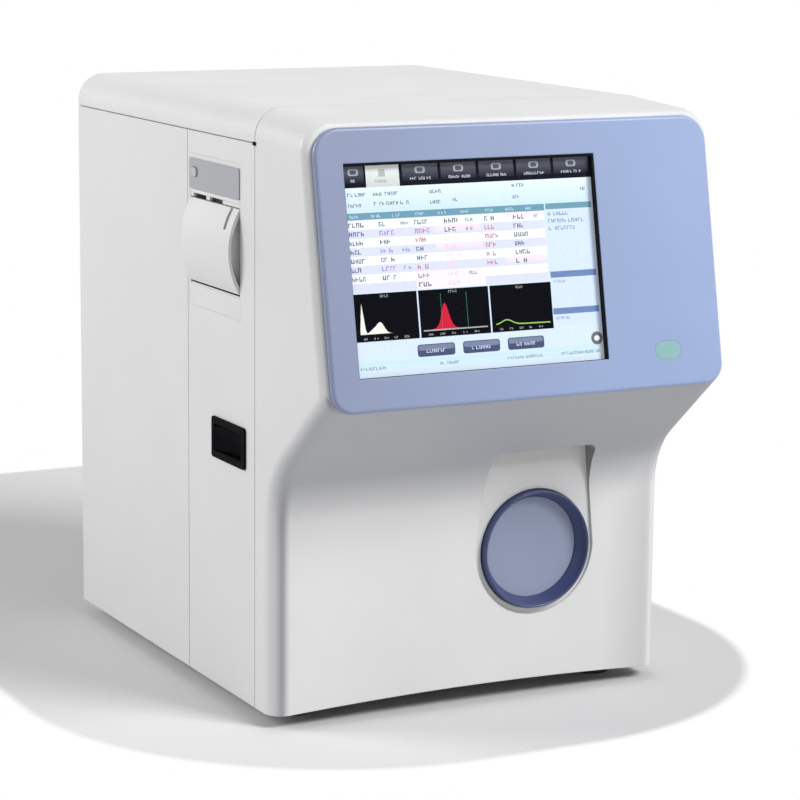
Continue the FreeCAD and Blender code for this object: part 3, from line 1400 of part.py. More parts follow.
def syringe_plungers():
    """Three pistons on their rods."""
    plungers = []
    top = SYRINGE_Z[1] - SYRINGE_WALL - PISTON_GAP
    for y, radius in zip(SYRINGE_Y, SYRINGE_R):
        piston_ends = [V(SYRINGE_X, y, z) for z in (top - PISTON_TALL, top)]
        stem_ends = [V(SYRINGE_X, y, z) for z in (CROSSHEAD_Z[1], top - PISTON_TALL)]
        piston = rod(radius - SYRINGE_WALL - PISTON_GAP, *piston_ends)
        plungers.append(joined([piston, rod(PLUNGER_R, *stem_ends)]))
    return Part.makeCompound(plungers)


def syringe_crosshead():
    """Bar that draws the three plungers together."""
    x_ends = span(SYRINGE_X, 2 * CROSSHEAD_HALF)
    bar = soft_block(x_ends, CROSSHEAD_Y, CROSSHEAD_Z, CROSSHEAD_HALF / 2, V(0, 0, 1))
    bore = [V(SYRINGE_X, SCREW_Y, z) for z in grown(CROSSHEAD_Z, OVERRUN)]
    return bar.cut(rod(SCREW_BORE_R, *bore))


def lead_screw():
    """Screw that drives the crosshead, between two thinner ends."""
    low = STAND_Z[0] + STAND_SHEET + MOTOR_SIZE
    high = SYRINGE_Z[0]
    journal = rod(SCREW_CORE_R, *[V(SYRINGE_X, SCREW_Y, z) for z in (low + DOOR_GAP, high)])
    threaded = rod(SCREW_R, *[V(SYRINGE_X, SCREW_Y, z) for z in (low + SCREW_LEAD, high - SCREW_LEAD)])
    return joined([journal, threaded])


def syringe_motor():
    """Stepping motor under the screw."""
    foot = STAND_Z[0] + STAND_SHEET
    x_ends, y_ends = span(SYRINGE_X, MOTOR_SIZE), span(SCREW_Y, MOTOR_SIZE)
    return soft_block(x_ends, y_ends, (foot, foot + MOTOR_SIZE), MOTOR_ROUND, V(0, 0, 1))


def valve_bank():
    """Manifold with two rows of small valves on the frame."""
    x0 = FRAME_X + FRAME_SHEET
    parts = [block((x0, x0 + VALVE_BLOCK), VALVE_Y, VALVE_Z)]
    across = (VALVE_Y[1] - VALVE_Y[0]) / VALVE_COLUMNS
    upward = (VALVE_Z[1] - VALVE_Z[0]) / VALVE_ROWS
    for column in range(VALVE_COLUMNS):
        for row in range(VALVE_ROWS):
            y = VALVE_Y[0] + (column + 1 / 2) * across
            z = VALVE_Z[0] + (row + 1 / 2) * upward
            start = x0 + VALVE_BLOCK
            parts.append(rod(VALVE_R, V(start, y, z), V(start + VALVE_LONG, y, z)))
    return joined(parts)


def vacuum_tank():
    """Round tank with a screwed lid and two necks."""
    floor = PAN_Z + PAN_WALL
    top = floor + TANK_TALL
    outline = [(0, floor), (TANK_R, floor), (TANK_R, top), (TANK_R + TANK_LID / 2, top)]
    outline += [(TANK_R + TANK_LID / 2, top + TANK_LID), (0, top + TANK_LID)]
    tank = turned(outline, V(TANK_X, TANK_Y, 0), V(0, 0, 1))
    necks = []
    for side in (-1, 1):
        x = TANK_X + side * TANK_R / 2
        start = top + TANK_LID
        necks.append(rod(TANK_NECK_R, V(x, TANK_Y, start), V(x, TANK_Y, start + TANK_NECK)))
    return joined([tank] + necks)


def air_pump():
    """Air pump: a motor with its pump head on a foot plate."""
    floor = PAN_Z + PAN_WALL
    foot = block(PUMP_X, PUMP_Y, (floor, floor + PUMP_FOOT))
    middle = sum(PUMP_X) / 2
    height = floor + PUMP_FOOT + PUMP_MOTOR_R - PUMP_SINK
    motor = rod(PUMP_MOTOR_R, V(middle, PUMP_Y[0], height), V(middle, PUMP_Y[1] - PUMP_HEAD, height))
    head_y = (PUMP_Y[1] - PUMP_HEAD, PUMP_Y[1])
    head = soft_block(span(middle, PUMP_TALL), head_y, (floor, floor + PUMP_TALL), MOTOR_ROUND, V(0, 1, 0))
    return joined([foot, motor, head])


def main_board():
    """Circuit board on spacers, with chips and capacitors."""
    face = FRAME_X - BOARD_GAP
    back = face - BOARD_THICK
    parts = [block((back, face), BOARD_Y, BOARD_Z)]
    for y in grown(BOARD_Y, -BOARD_INSET):
        for z in grown(BOARD_Z, -BOARD_INSET):
            parts.append(rod(SPACER_R, V(face, y, z), V(FRAME_X, y, z)))
    for size, along, up in zip(CHIP_SIZES, CHIP_ALONG, CHIP_UP):
        y, z = BOARD_Y[0] + along, BOARD_Z[0] + up
        parts.append(block((back - CHIP_TALL, back), span(y, size), span(z, size)))
    row = 3 * CAP_R
    for index in range(CAP_COUNT):
        y = BOARD_Y[0] + row * (index + 1)
        z = BOARD_Z[0] + row
        parts.append(rod(CAP_R, V(back - CAP_TALL, y, z), V(back, y, z)))
    return joined(parts)


def data_sockets():
    """Block of data sockets, flush with the rear panel."""
    depth = (BODY_DEEP - SOCKET_DEEP, BODY_DEEP)
    body = block(SOCKET_X, depth, socket_column())
    inner_x = grown(SOCKET_X, -SOCKET_LIP)
    inner_y = (depth[0] + SOCKET_LIP, depth[1] + OVERRUN)
    hollows = []
    for level in socket_levels():
        inner_z = grown(span(level, SOCKET_TALL), -SOCKET_LIP)
        hollows.append(block(inner_x, inner_y, inner_z))
    return less(body, hollows)


def power_supply():
    """Power supply box with a slotted lid."""
    floor = PAN_Z + PAN_WALL
    z_ends = (floor, floor + SUPPLY_TALL)
    wall = SUPPLY_WALL
    box = block(SUPPLY_X, SUPPLY_Y, z_ends)
    hollow = block(grown(SUPPLY_X, -wall), grown(SUPPLY_Y, -wall), grown(z_ends, -wall))
    slots = []
    step = (SUPPLY_Y[1] - SUPPLY_Y[0]) / (SUPPLY_SLOTS + 1)
    for index in range(SUPPLY_SLOTS):
        y = SUPPLY_Y[0] + (index + 1) * step
        slot_z = (z_ends[1] - wall - OVERRUN, z_ends[1] + OVERRUN)
        slots.append(block(grown(SUPPLY_X, -SUPPLY_SLOT * 4), span(y, SUPPLY_SLOT), slot_z))
    return less(box, [hollow] + slots)


def fan_housing():
    """Square fan frame with struts to its hub."""
    depth = (BODY_DEEP - PANEL_WALL - FAN_DEEP, BODY_DEEP - PANEL_WALL)
    frame = soft_block(span(FAN_X, FAN_SIZE), depth, span(FAN_Z, FAN_SIZE), FAN_CORNER_R, V(0, 1, 0))
    ends = [V(FAN_X, y, FAN_Z) for y in grown(depth, OVERRUN)]
    frame = frame.cut(rod(FAN_BORE_R, *ends))
    strut_y = (depth[0], depth[0] + FAN_STRUT)
    parts = [frame, rod(FAN_HUB_R, *[V(FAN_X, y, FAN_Z) for y in strut_y])]
    for turn in range(3):
        strut = block(span(FAN_X, FAN_STRUT), strut_y, (FAN_Z, FAN_Z + FAN_BORE_R + OVERRUN))
        strut.rotate(V(FAN_X, 0, FAN_Z), V(0, 1, 0), 120 * turn)
        parts.append(strut)
    return joined(parts)


def fan_rotor():
    """Fan hub with twisted blades."""
    rear = BODY_DEEP - PANEL_WALL
    start = rear - FAN_DEEP + FAN_STRUT + DOOR_GAP
    hub = rod(FAN_HUB_R, V(FAN_X, start, FAN_Z), V(FAN_X, rear, FAN_Z))
    parts = [hub]
    middle = (start + rear) / 2
    for blade in range(FAN_BLADES):
        x_ends = span(FAN_X, FAN_BLADE_THICK)
        long = (rear - start) * 4 / 5 / math.cos(math.radians(FAN_BLADE_PITCH))
        leaf = block(x_ends, span(middle, long), (FAN_Z, FAN_Z + FAN_BLADE_R))
        leaf.rotate(V(FAN_X, middle, FAN_Z), V(0, 0, 1), FAN_BLADE_PITCH)
        leaf.rotate(V(FAN_X, middle, FAN_Z), V(0, 1, 0), 360 / FAN_BLADES * blade)
        parts.append(leaf)
    return joined(parts)


def mains_inlet():
    """Mains inlet with its deep socket and three blades."""
    flange_x = span(INLET_X, INLET_WIDE + 2 * INLET_FLANGE)
    flange_z = span(INLET_Z, INLET_TALL + 2 * INLET_LIP)
    flange = soft_block(flange_x, (BODY_DEEP, BODY_DEEP + INLET_LIP), flange_z, INLET_LIP, V(0, 1, 0))
    inner_y = (BODY_DEEP - INLET_DEEP, BODY_DEEP)
    body = block(span(INLET_X, INLET_WIDE), inner_y, span(INLET_Z, INLET_TALL))
    wall = 2 * INLET_LIP
    hollow_y = (BODY_DEEP - INLET_DEEP + INLET_LIP, BODY_DEEP + INLET_LIP + OVERRUN)
    hollow = block(
        grown(span(INLET_X, INLET_WIDE), -wall), hollow_y, grown(span(INLET_Z, INLET_TALL), -INLET_LIP)
    )
    parts = [less(joined([flange, body]), [hollow])]
    step = INLET_WIDE / 5
    for index, lift in ((-1, 0), (0, 1), (1, 0)):
        x, z = INLET_X + index * step, INLET_Z + lift * INLET_LIP
        blade_y = (hollow_y[0], BODY_DEEP - INLET_LIP)
        parts.append(block(span(x, INLET_LIP * 4 / 5), blade_y, span(z, 2 * INLET_LIP)))
    return joined(parts)


def reagent_ports():
    """Block inside the rear panel with four beaded hose nipples."""
    wall = BODY_DEEP - PANEL_WALL
    block_x = grown((PORT_X[0], PORT_X[-1]), PORT_BLOCK_TALL / 2)
    parts = [block(block_x, (wall - PORT_BLOCK_THICK, wall), span(PORT_Z, PORT_BLOCK_TALL))]
    bores = []
    end = BODY_DEEP + REAR_FITTINGS
    length = end - wall
    nipple = [
        (0, 0),
        (PORT_R, 0),
        (PORT_R, length - PORT_BEAD),
        (PORT_BEAD_R, length - PORT_BEAD),
        (PORT_BEAD_R, length),
        (0, length),
    ]
    for x in PORT_X:
        parts.append(turned(nipple, V(x, wall, PORT_Z), V(0, 1, 0)))
        bores.append(rod(PORT_BORE_R, V(x, end - PORT_BORE, PORT_Z), V(x, end + OVERRUN, PORT_Z)))
    return less(joined(parts), bores)


NODES = (
    base_pan, rubber_feet, front_shell, screen_bezel, screen_gasket, touch_glass, lcd_module,
    status_lens, top_cover, left_front_panel, left_rear_panel, right_panel, service_door,
    door_latch, rear_panel, mid_frame, key_rim, key_face, key_spring, key_bracket, key_switch,
    printer_frame, printer_fascia, feed_key, printer_door, platen_roller, platen_gear,
    drive_gear, print_head, paper_roll, switch_frame, switch_rocker, probe_rails,
    carriage_block, probe_wipe, probe_lifter, sample_probe, drive_pulley, idler_pulley,
    carriage_belt, carriage_motor, wbc_bath, rbc_bath, syringe_frame,
    syringe_barrels, syringe_plungers, syringe_crosshead, lead_screw, syringe_motor,
    valve_bank, vacuum_tank, air_pump, main_board, data_sockets, power_supply, fan_housing,
    fan_rotor, mains_inlet, reagent_ports,
)


def main():
    """Builds each node, moves it to the shared origin and writes it."""
    os.makedirs("parts", exist_ok=True)
    shift = V(DOOR_BULGE / 2, -(BODY_DEEP + REAR_FITTINGS - FOREMOST) / 2, 0)
    for node in NODES:
        shape = node()
        shape.translate(shift)
        shape.exportStep(f"parts/{node.__name__}.step")


main()
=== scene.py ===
import json
import math
import random

import bmesh
import bpy
from mathutils import Matrix, Vector


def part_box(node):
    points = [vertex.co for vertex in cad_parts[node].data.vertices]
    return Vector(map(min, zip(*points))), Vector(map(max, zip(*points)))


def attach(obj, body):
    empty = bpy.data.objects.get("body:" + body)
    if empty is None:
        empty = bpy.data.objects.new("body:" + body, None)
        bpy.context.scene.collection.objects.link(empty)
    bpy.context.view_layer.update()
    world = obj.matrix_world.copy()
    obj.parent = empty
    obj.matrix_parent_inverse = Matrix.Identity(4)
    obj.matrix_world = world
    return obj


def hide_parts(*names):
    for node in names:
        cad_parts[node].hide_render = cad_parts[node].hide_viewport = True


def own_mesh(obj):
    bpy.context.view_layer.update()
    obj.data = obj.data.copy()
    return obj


# Looks of the bench-top cell counter. Metres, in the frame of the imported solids.

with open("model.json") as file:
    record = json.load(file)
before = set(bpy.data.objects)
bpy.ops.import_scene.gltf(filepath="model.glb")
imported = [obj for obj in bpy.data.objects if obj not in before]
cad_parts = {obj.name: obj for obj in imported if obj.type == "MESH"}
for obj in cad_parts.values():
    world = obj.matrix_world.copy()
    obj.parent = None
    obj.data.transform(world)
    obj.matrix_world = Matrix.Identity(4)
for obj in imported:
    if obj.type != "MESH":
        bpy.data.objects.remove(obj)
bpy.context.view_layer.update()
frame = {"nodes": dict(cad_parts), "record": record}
NODES = frame["nodes"]

MM = 0.001
# The solids were drawn from the lower front face and moved to the middle of their box.
SHIFT = Vector((4.0, -137.957, 0.0)) * MM
TILT = math.radians(11.0)
PANEL_FOOT = Vector((0.0, -81.5, 226.4)) * MM + SHIFT


def at(x, y, z):
    """A place in the drawing's millimetres, in the frame of the model."""
    return Vector((x, y, z)) * MM + SHIFT


def on_panel(x, depth, up):
    """A place on the tilted panel: across, into the machine, up the slope, in millimetres."""
    along = Vector((0.0, math.sin(TILT), math.cos(TILT)))
    inward = Vector((0.0, math.cos(TILT), -math.sin(TILT)))
    return PANEL_FOOT + Vector((x * MM, 0, 0)) + inward * depth * MM + along * up * MM


# Scene and node helpers


def added(name, data):
    """A new object of the scene."""
    made = bpy.data.objects.new(name, data)
    bpy.context.collection.objects.link(made)
    return made


def worked_out(holder, name):
    """Plain mesh of an object's curve or modifier; the object itself goes."""
    bpy.context.view_layer.update()
    state = bpy.context.evaluated_depsgraph_get()
    mesh = bpy.data.meshes.new_from_object(holder.evaluated_get(state))
    bpy.data.objects.remove(holder)
    mesh.name = name
    return mesh


class NodeTree:
    """A tree of nodes, built one by one."""

    def __init__(self, tree):
        self.tree = tree

    def feed(self, socket, value):
        """Link a socket to another node's output, or set it to a plain value."""
        if isinstance(value, bpy.types.NodeSocket):
            self.tree.links.new(value, socket)
        elif socket.type == "RGBA":
            socket.default_value = (*value, 1)
        else:
            socket.default_value = value

    def node(self, kind, feeds=None, **values):
        """A new node with its own values and what goes into its sockets."""
        made = self.tree.nodes.new(kind)
        for key, value in values.items():
            setattr(made, key, value)
        for key, value in (feeds or {}).items():
            self.feed(made.inputs[key], value)
        return made

    def maths(self, operation, *sides):
        """Outcome of one sum; each side is a link or a number."""
        return self.node("ShaderNodeMath", dict(enumerate(sides)), operation=operation).outputs[0]

    def shade(self, output, amount, first, second):
        """Send a mix of two shaders to the output of the tree."""
        mix = self.node("ShaderNodeMixShader", {0: amount, 1: first, 2: second})
        self.feed(self.tree.nodes[output].inputs["Surface"], mix.outputs[0])


# Materials


class Finish(NodeTree):
    """A procedural finish on one shader, in object coordinates."""

    def __init__(self, name, colour, roughness, metallic=0.0):
        self.material = bpy.data.materials.new(name)
        self.material.use_nodes = True
        super().__init__(self.material.node_tree)
        self.shader = self.tree.nodes["Principled BSDF"]
        self.colour, self.roughness = colour, roughness
        self.set(Base_Color=colour, Roughness=roughness, Metallic=metallic)
        coordinates = self.node("ShaderNodeTexCoord").outputs
        self.place, self.facing = coordinates["Object"], coordinates["Normal"]

    def set(self, **values):
        """Even values or links, on the shader's own sockets."""
        for key, value in values.items():
            self.feed(self.shader.inputs[key.replace("_", " ")], value)
        return self

    def parts(self, vector):
        """X, Y and Z of a vector."""
        return self.node("ShaderNodeSeparateXYZ", {0: vector}).outputs

    def mixed(self, amount, first, second, **values):
        """The first colour where the amount is 0, the second where it is 1."""
        feeds = {0: amount, 6: first, 7: second}
        return self.node("ShaderNodeMix", feeds, data_type="RGBA", **values).outputs[2]

    def noise(self, scale, detail=3.0, stretch=None):
        """Noise; a stretch scales the coordinates unevenly, for brushed and drawn grain."""
        place = self.place
        if stretch:
            mapping = self.node("ShaderNodeMapping", {"Scale": stretch, "Vector": place})
            place = mapping.outputs["Vector"]
        feeds = {"Scale": scale, "Detail": detail, "Roughness": 0.55, "Vector": place}
        return self.node("ShaderNodeTexNoise", feeds).outputs["Fac"]

    def ranged(self, value, low, high, start=0.3, end=0.7):
        """Low up to the start of the value, high from its end on."""
        feeds = {"From Min": start, "From Max": end, "To Min": low, "To Max": high}
        return self.node("ShaderNodeMapRange", {**feeds, "Value": value}).outputs["Result"]

    def mottle(self, scale, spread, stretch=None):
        """Slow variation of the colour between a darker and a lighter shade."""
        dark = tuple(part * (1 - spread) for part in self.colour)
        light = tuple(min(1.0, part * (1 + spread * 0.4)) for part in self.colour)
        amount = self.ranged(self.noise(scale, 4.0, stretch), 0, 1)
        self.painted = self.mixed(amount, dark, light)
        return self.set(Base_Color=self.painted)

    def sheen(self, scale, spread, stretch=None):
        """Slow variation of the roughness, as handling and cleaning leave."""
        low, high = max(self.roughness - spread, 0.02), min(self.roughness + spread, 1.0)
        return self.set(Roughness=self.ranged(self.noise(scale, 3.0, stretch), low, high))

    def grain(self, scale, depth, stretch=None, edge=0.0004):
        """Fine relief, its depth in millimetres, over edges softened by a radius in metres."""
        bevel = self.node("ShaderNodeBevel", {"Radius": edge}, samples=4)
        feeds = {"Strength": 1.0, "Distance": depth * MM, "Normal": bevel.outputs["Normal"]}
        feeds["Height"] = self.noise(scale, 2.0, stretch)
        return self.set(Normal=self.node("ShaderNodeBump", feeds).outputs["Normal"])


def moulded(name, colour, roughness=0.5, scale=1800.0, depth=0.012, edge=0.0005):
    """Moulded plastic: spark-eroded texture, faint clouding, handled sheen."""
    finish = Finish(name, colour, roughness).mottle(14.0, 0.035).sheen(22.0, 0.06)
    return finish.grain(scale, depth, edge=edge)


def matt(name, colour, roughness, gloss):
    """Moulded plastic with hardly any gloss."""
    return moulded(name, colour, roughness).set(Specular_IOR_Level=gloss)


def painted(name, colour, roughness=0.48):
    """Powder paint on sheet steel: orange peel over a faint unevenness."""
    finish = Finish(name, colour, roughness).mottle(9.0, 0.03).sheen(16.0, 0.06)
    return finish.grain(700.0, 0.02, edge=0.0012)


def brushed(name, colour, roughness=0.32, stretch=(30.0, 1.0, 1.0)):
    """Metal with fine lines along one way."""
    finish = Finish(name, colour, roughness, 1.0).mottle(60.0, 0.12, stretch)
    return finish.sheen(90.0, 0.1, stretch).grain(160.0, 0.004, stretch, edge=0.0002)


def rubbery(name, colour, roughness=0.75):
    """Dull rubber with a fine bloom."""
    finish = Finish(name, colour, roughness).mottle(60.0, 0.2).sheen(45.0, 0.08)
    return finish.grain(1300.0, 0.02, edge=0.0004)


FINISHES = {
    "zinc_steel": brushed("zinc_plated_sheet", (0.50, 0.51, 0.52), 0.38),
    "rubber": rubbery("foot_rubber", (0.03, 0.03, 0.032)),
    "gasket_black": matt("gasket_black", (0.006, 0.006, 0.008), 0.5, 0.05),
    "cover_white": painted("cover_paint", (0.72, 0.72, 0.715)),
    "door_white": moulded("printer_door_white", (0.74, 0.74, 0.735), 0.4),
    "bright_steel": brushed("bright_steel", (0.62, 0.62, 0.63), 0.2),
    "rear_grey": painted("rear_paint", (0.60, 0.605, 0.60)),
    "contact_brass": brushed("contact_brass", (0.60, 0.42, 0.17), 0.3),
    "spring_steel": brushed("drawn_wire", (0.45, 0.45, 0.47), 0.3),
    "black_plastic": matt("black_moulding", (0.003, 0.003, 0.004), 0.6, 0.03),
    "fascia_grey": moulded("printer_fascia_grey", (0.385, 0.39, 0.41), 0.5),
    "feed_pale": moulded("feed_key_pale", (0.48, 0.485, 0.51), 0.5),
    "platen_rubber": rubbery("platen_rubber", (0.03, 0.03, 0.033), 0.6),
    "nylon_gear": moulded("nylon", (0.76, 0.74, 0.68), 0.45, 900.0, 0.008, 0.0002),
    "head_metal": brushed("head_metal", (0.42, 0.43, 0.45), 0.35),
    "paper_white": moulded("thermal_paper", (0.80, 0.80, 0.78), 0.7, 2600.0, 0.01, 0.0002),
    "rocker_black": matt("rocker_black", (0.002, 0.002, 0.003), 0.55, 0.02),
    "ground_steel": brushed("ground_rod", (0.55, 0.55, 0.57), 0.22, (1.0, 30.0, 1.0)),
    "milled_aluminium": brushed("milled_aluminium", (0.60, 0.61, 0.63), 0.34, (1.0, 24.0, 1.0)),
    "belt_rubber": rubbery("belt_rubber", (0.02, 0.02, 0.022)),
    "motor_dark": painted("motor_black", (0.02, 0.02, 0.022), 0.4),
    "bath_plastic": moulded("bath_resin", (0.62, 0.58, 0.50), 0.22, 500.0, 0.004),
    "plunger_steel": brushed("plunger_rod", (0.55, 0.55, 0.57), 0.24),
    "valve_plastic": moulded("valve_moulding", (0.60, 0.57, 0.50), 0.45),
    "tank_plastic": moulded("tank_moulding", (0.66, 0.67, 0.63), 0.38),
    "pump_dark": painted("pump_black", (0.03, 0.03, 0.034), 0.42),
    "board_green": moulded("board_green", (0.010, 0.10, 0.035), 0.35, 420.0, 0.02),
    "socket_metal": brushed("socket_tin", (0.45, 0.45, 0.45), 0.35),
    "supply_steel": brushed("supply_sheet", (0.48, 0.49, 0.49), 0.36),
    "fan_black": moulded("fan_black", (0.014, 0.014, 0.016), 0.45),
    "port_plastic": moulded("port_blue", (0.05, 0.09, 0.24), 0.4),
    "key_navy": moulded("key_ring_navy", (0.05, 0.065, 0.17), 0.35, 1500.0, 0.006),
    "key_grey": moulded("key_disc_grey", (0.27, 0.31, 0.43), 0.5, 1500.0, 0.012),
}


def panel_finish():
    """Satin blue-lilac of the screen panel with painted light: paler and bluer to the right, as if
    lit from that side.
    """
    # Painted light: the shaded colour of the left end and the lit colour of the right end.
    left, right, reach = (0.243, 0.285, 0.43), (0.31, 0.40, 0.64), 0.14
    finish = Finish("panel_blue", left, 0.36).sheen(18.0, 0.05)
    painted_light_drift = finish.ranged(finish.noise(7.0), -0.03, 0.03)
    across = finish.maths("ADD", finish.parts(finish.place)[0], painted_light_drift)
    # Painted light: the colour blends from the shaded left to the lit right.
    finish.set(Base_Color=finish.mixed(finish.ranged(across, 0, 1, -reach, reach), left, right))
    return finish.grain(1600.0, 0.006, edge=0.0012)


def shell_finish():
    """White of the front moulding with painted shade: greyer at the right end of the front, on the
    rounded front-left edge and on faces that lean over, darkest as a painted shadow in the key
    recess.
    """
    finish = Finish("shell_white", (0.72, 0.72, 0.715), 0.46).mottle(14.0, 0.035).sheen(22.0, 0.06)
    facing, place = finish.parts(finish.facing), finish.parts(finish.place)

    def below(value, start, end):
        return finish.ranged(value, 1.0, 0.0, start, end)

    def above(value, start, end, most=1.0):
        return finish.ranged(value, 0.0, most, start, end)

    def both(first, second):
        return finish.maths("MULTIPLY", first, second)

    # Painted shade: masks of where the white is drawn greyer, as if in shadow.
    painted_shade_right_end = both(below(facing[1], -0.999, -0.9), above(place[0], 0.108, 0.150, 0.6))
    from_edge = finish.maths("ABSOLUTE", finish.maths("ADD", facing[0], 0.40))
    painted_shade_left_edge = both(below(from_edge, 0.05, 0.34), below(facing[2], 0.02, 0.16))
    painted_shade_overhang = below(facing[2], -0.55, -0.05)
    painted_side_shadow = both(below(facing[0], -0.9, -0.5), above(place[0], 0.07, 0.09))
    painted_side_shadow = both(painted_side_shadow, above(place[2], 0.115, 0.16))
    painted_recess_shadow = finish.maths("MAXIMUM", painted_side_shadow, below(facing[2], -1.0, -0.9))
    # The painted shade tones, mixed over the white in turn: right end of the front, front-left
    # edge, faces that lean over, and the painted shadow in the key recess.
    colour = finish.painted
    for amount, tone in (
        (painted_shade_right_end, (0.42, 0.42, 0.43)),
        (painted_shade_left_edge, (0.36, 0.36, 0.385)),
        (painted_shade_overhang, (0.47, 0.475, 0.50)),
        (painted_recess_shadow, (0.22, 0.22, 0.235)),
    ):
        colour = finish.mixed(amount, colour, tone)
    return finish.set(Base_Color=colour).grain(1800.0, 0.012, edge=0.0008)


def pane_finish():
    """Clear cover of the display: it lets the picture through and keeps a thin gloss."""
    finish = Finish("touch_glass", (0.015, 0.015, 0.018), 0.06).sheen(30.0, 0.03)
    finish.grain(40.0, 0.002, edge=0.0003)
    gloss = finish.node("ShaderNodeFresnel", {"IOR": 1.12}).outputs[0]
    smear = finish.ranged(finish.noise(18.0), 0.0, 0.004)
    clear = finish.node("ShaderNodeBsdfTransparent", {"Color": (0.97, 0.98, 0.99)}).outputs[0]
    veil = finish.maths("ADD", gloss, smear)
    finish.shade("Material Output", veil, clear, finish.shader.outputs[0])
    return finish


def glass_finish(name, tint, roughness=0.03):
    """Clear sheet or tube with faint smears."""
    finish = Finish(name, tint, roughness).sheen(30.0, 0.02)
    finish.set(Transmission_Weight=1.0, IOR=1.45)
    return finish.grain(40.0, 0.002, edge=0.0003)


def status_finish():
    """Green status light, faintly lit from within."""
    finish = Finish("status_green", (0.235, 0.42, 0.44), 0.4).mottle(30.0, 0.05)
    finish.set(Emission_Color=(0.20, 0.55, 0.40), Emission_Strength=0.08)
    return finish.grain(900.0, 0.008, edge=0.0008)


def picture_finish():
    """Lit picture of the display, coloured by the faces' own paint."""
    finish = Finish("display_picture", (0.5, 0.5, 0.5), 0.35)
    paint = finish.node("ShaderNodeAttribute", attribute_name="paint").outputs["Color"]
    shade = finish.ranged(finish.noise(900.0, 1.0), 0.94, 1.0)
    pixel = finish.mixed(1.0, paint, shade, blend_type="MULTIPLY")
    finish.set(Base_Color=pixel, Emission_Color=pixel, Emission_Strength=0.30)
    return finish.set(Specular_IOR_Level=0.0).sheen(25.0, 0.05)


FINISHES["shell_white"] = shell_finish()
FINISHES["panel_blue"] = panel_finish()
FINISHES["screen_glass"] = pane_finish()
FINISHES["barrel_glass"] = glass_finish("barrel_glass", (0.95, 0.98, 0.98), 0.05)
FINISHES["clear_plastic"] = glass_finish("clear_block", (0.86, 0.90, 0.92), 0.1)
FINISHES["status_green"] = status_finish()
FINISHES["display_lit"] = moulded("display_back", (0.10, 0.10, 0.11), 0.5)
PICTURE = picture_finish()


def dress_nodes():
    """Gives every solid the finish of its own slot."""
    for sub in frame["record"]["subparts"]:
        holder = NODES[sub["node"]]
        finish = FINISHES[sub["material_slot"]].material
        if not holder.material_slots:
            holder.data.materials.append(finish)
        for slot in holder.material_slots:
            slot.material = finish


# Mesh helpers


def piece(name, vertices, faces, finish, body):
    """A new piece of the object in its finish, riding on a body."""
    mesh = bpy.data.meshes.new(name)
    mesh.from_pydata([tuple(v) for v in vertices], [], faces)
    mesh.update()
    made = added(name, mesh)
    mesh.materials.append(finish.material)
    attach(made, body)
    return made


def lathe(profile, centre, axis, steps=96):
    """Vertices and faces of a closed round body from (radius, height) points."""
    turn = Vector((0, 0, 1)).rotation_difference(Vector(axis)).to_matrix()
    vertices, rings = [], []
    for radius, height in profile:
        if radius == 0:
            rings.append([len(vertices)])
            vertices.append(turn @ Vector((0, 0, height * MM)) + centre)
            continue
        ring = []
        for step in range(steps):
            angle = 2 * math.pi * step / steps
            spot = Vector((radius * math.cos(angle), radius * math.sin(angle), height)) * MM
            ring.append(len(vertices))
            vertices.append(turn @ spot + centre)
        rings.append(ring)
    faces = []
    for a, b in zip(rings, rings[1:] + rings[:1]):
        for step in range(steps):
            after = (step + 1) % steps
            if len(a) == 1 and len(b) == 1:
                continue
            if len(a) == 1:
                faces.append((a[0], b[step], b[after]))
            elif len(b) == 1:
                faces.append((a[step], b[0], a[after]))
            else:
                faces.append((a[step], b[step], b[after], a[after]))
    return vertices, faces


def outward(made, smooth_angle=35.0):
    """Turns the faces outwards and smooths all but the sharp edges."""
    mesh = bmesh.new()
    mesh.from_mesh(made.data)
    bmesh.ops.remove_doubles(mesh, verts=mesh.verts, dist=1e-6)
    bmesh.ops.recalc_face_normals(mesh, faces=mesh.faces)
    for face in mesh.faces:
        face.smooth = True
    limit = math.radians(smooth_angle)
    for edge in mesh.edges:
        if len(edge.link_faces) == 2 and edge.calc_face_angle() > limit:
            edge.smooth = False
    mesh.to_mesh(made.data)
    mesh.free()
    return made


def arc(cx, cy, radius, start, end, steps):
    """Points of a round corner in a profile."""
    points = []
    for step in range(steps + 1):
        angle = math.radians(start + (end - start) * step / steps)
        points.append((cx + radius * math.cos(angle), cy + radius * math.sin(angle)))
    return points


# Aspirate key

# On the key's axis, level with the front of its ring.
KEY = at(48.4, -4.0, 104.0)
# Radii of the ring and the disc, depth of the disc's rim and its dip, in millimetres.
KEY_RADIUS = 41.0
DISC_RADIUS = 34.9
DISC_FACE = 10.0
DISC_DIP = 1.25


def key_seat():
    """White seat ring in the mouth of the shell, with a bevelled edge round the key."""
    inner, outer, back = KEY_RADIUS + 0.3, 42.55, 14.0
    profile = [(inner, back), (inner, 6.4), (42.2, 5.2), (outer, 5.6), (outer, back)]
    vertices, faces = lathe(profile, KEY, (0, 1, 0), 128)
    outward(piece("key_seat", vertices, faces, FINISHES["door_white"], "body"))


def key_ring():
    """Coloured ring with a rolled lip round the dish."""
    lip, back = 0.9, 17.0
    profile = [(DISC_RADIUS, back), (DISC_RADIUS, 9.6), (DISC_RADIUS + 0.4, 8.6)]
    profile += [(KEY_RADIUS - 3.6, 6.0), (KEY_RADIUS - 2.1, 2.6)]
    profile += arc(KEY_RADIUS - lip, lip, lip, 180, 360, 10) + [(KEY_RADIUS, back)]
    vertices, faces = lathe(profile, KEY, (0, 1, 0), 128)
    ring = piece("key_ring", vertices, faces, FINISHES["key_navy"], "aspirate_key")
    outward(ring)
    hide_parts("key_rim")


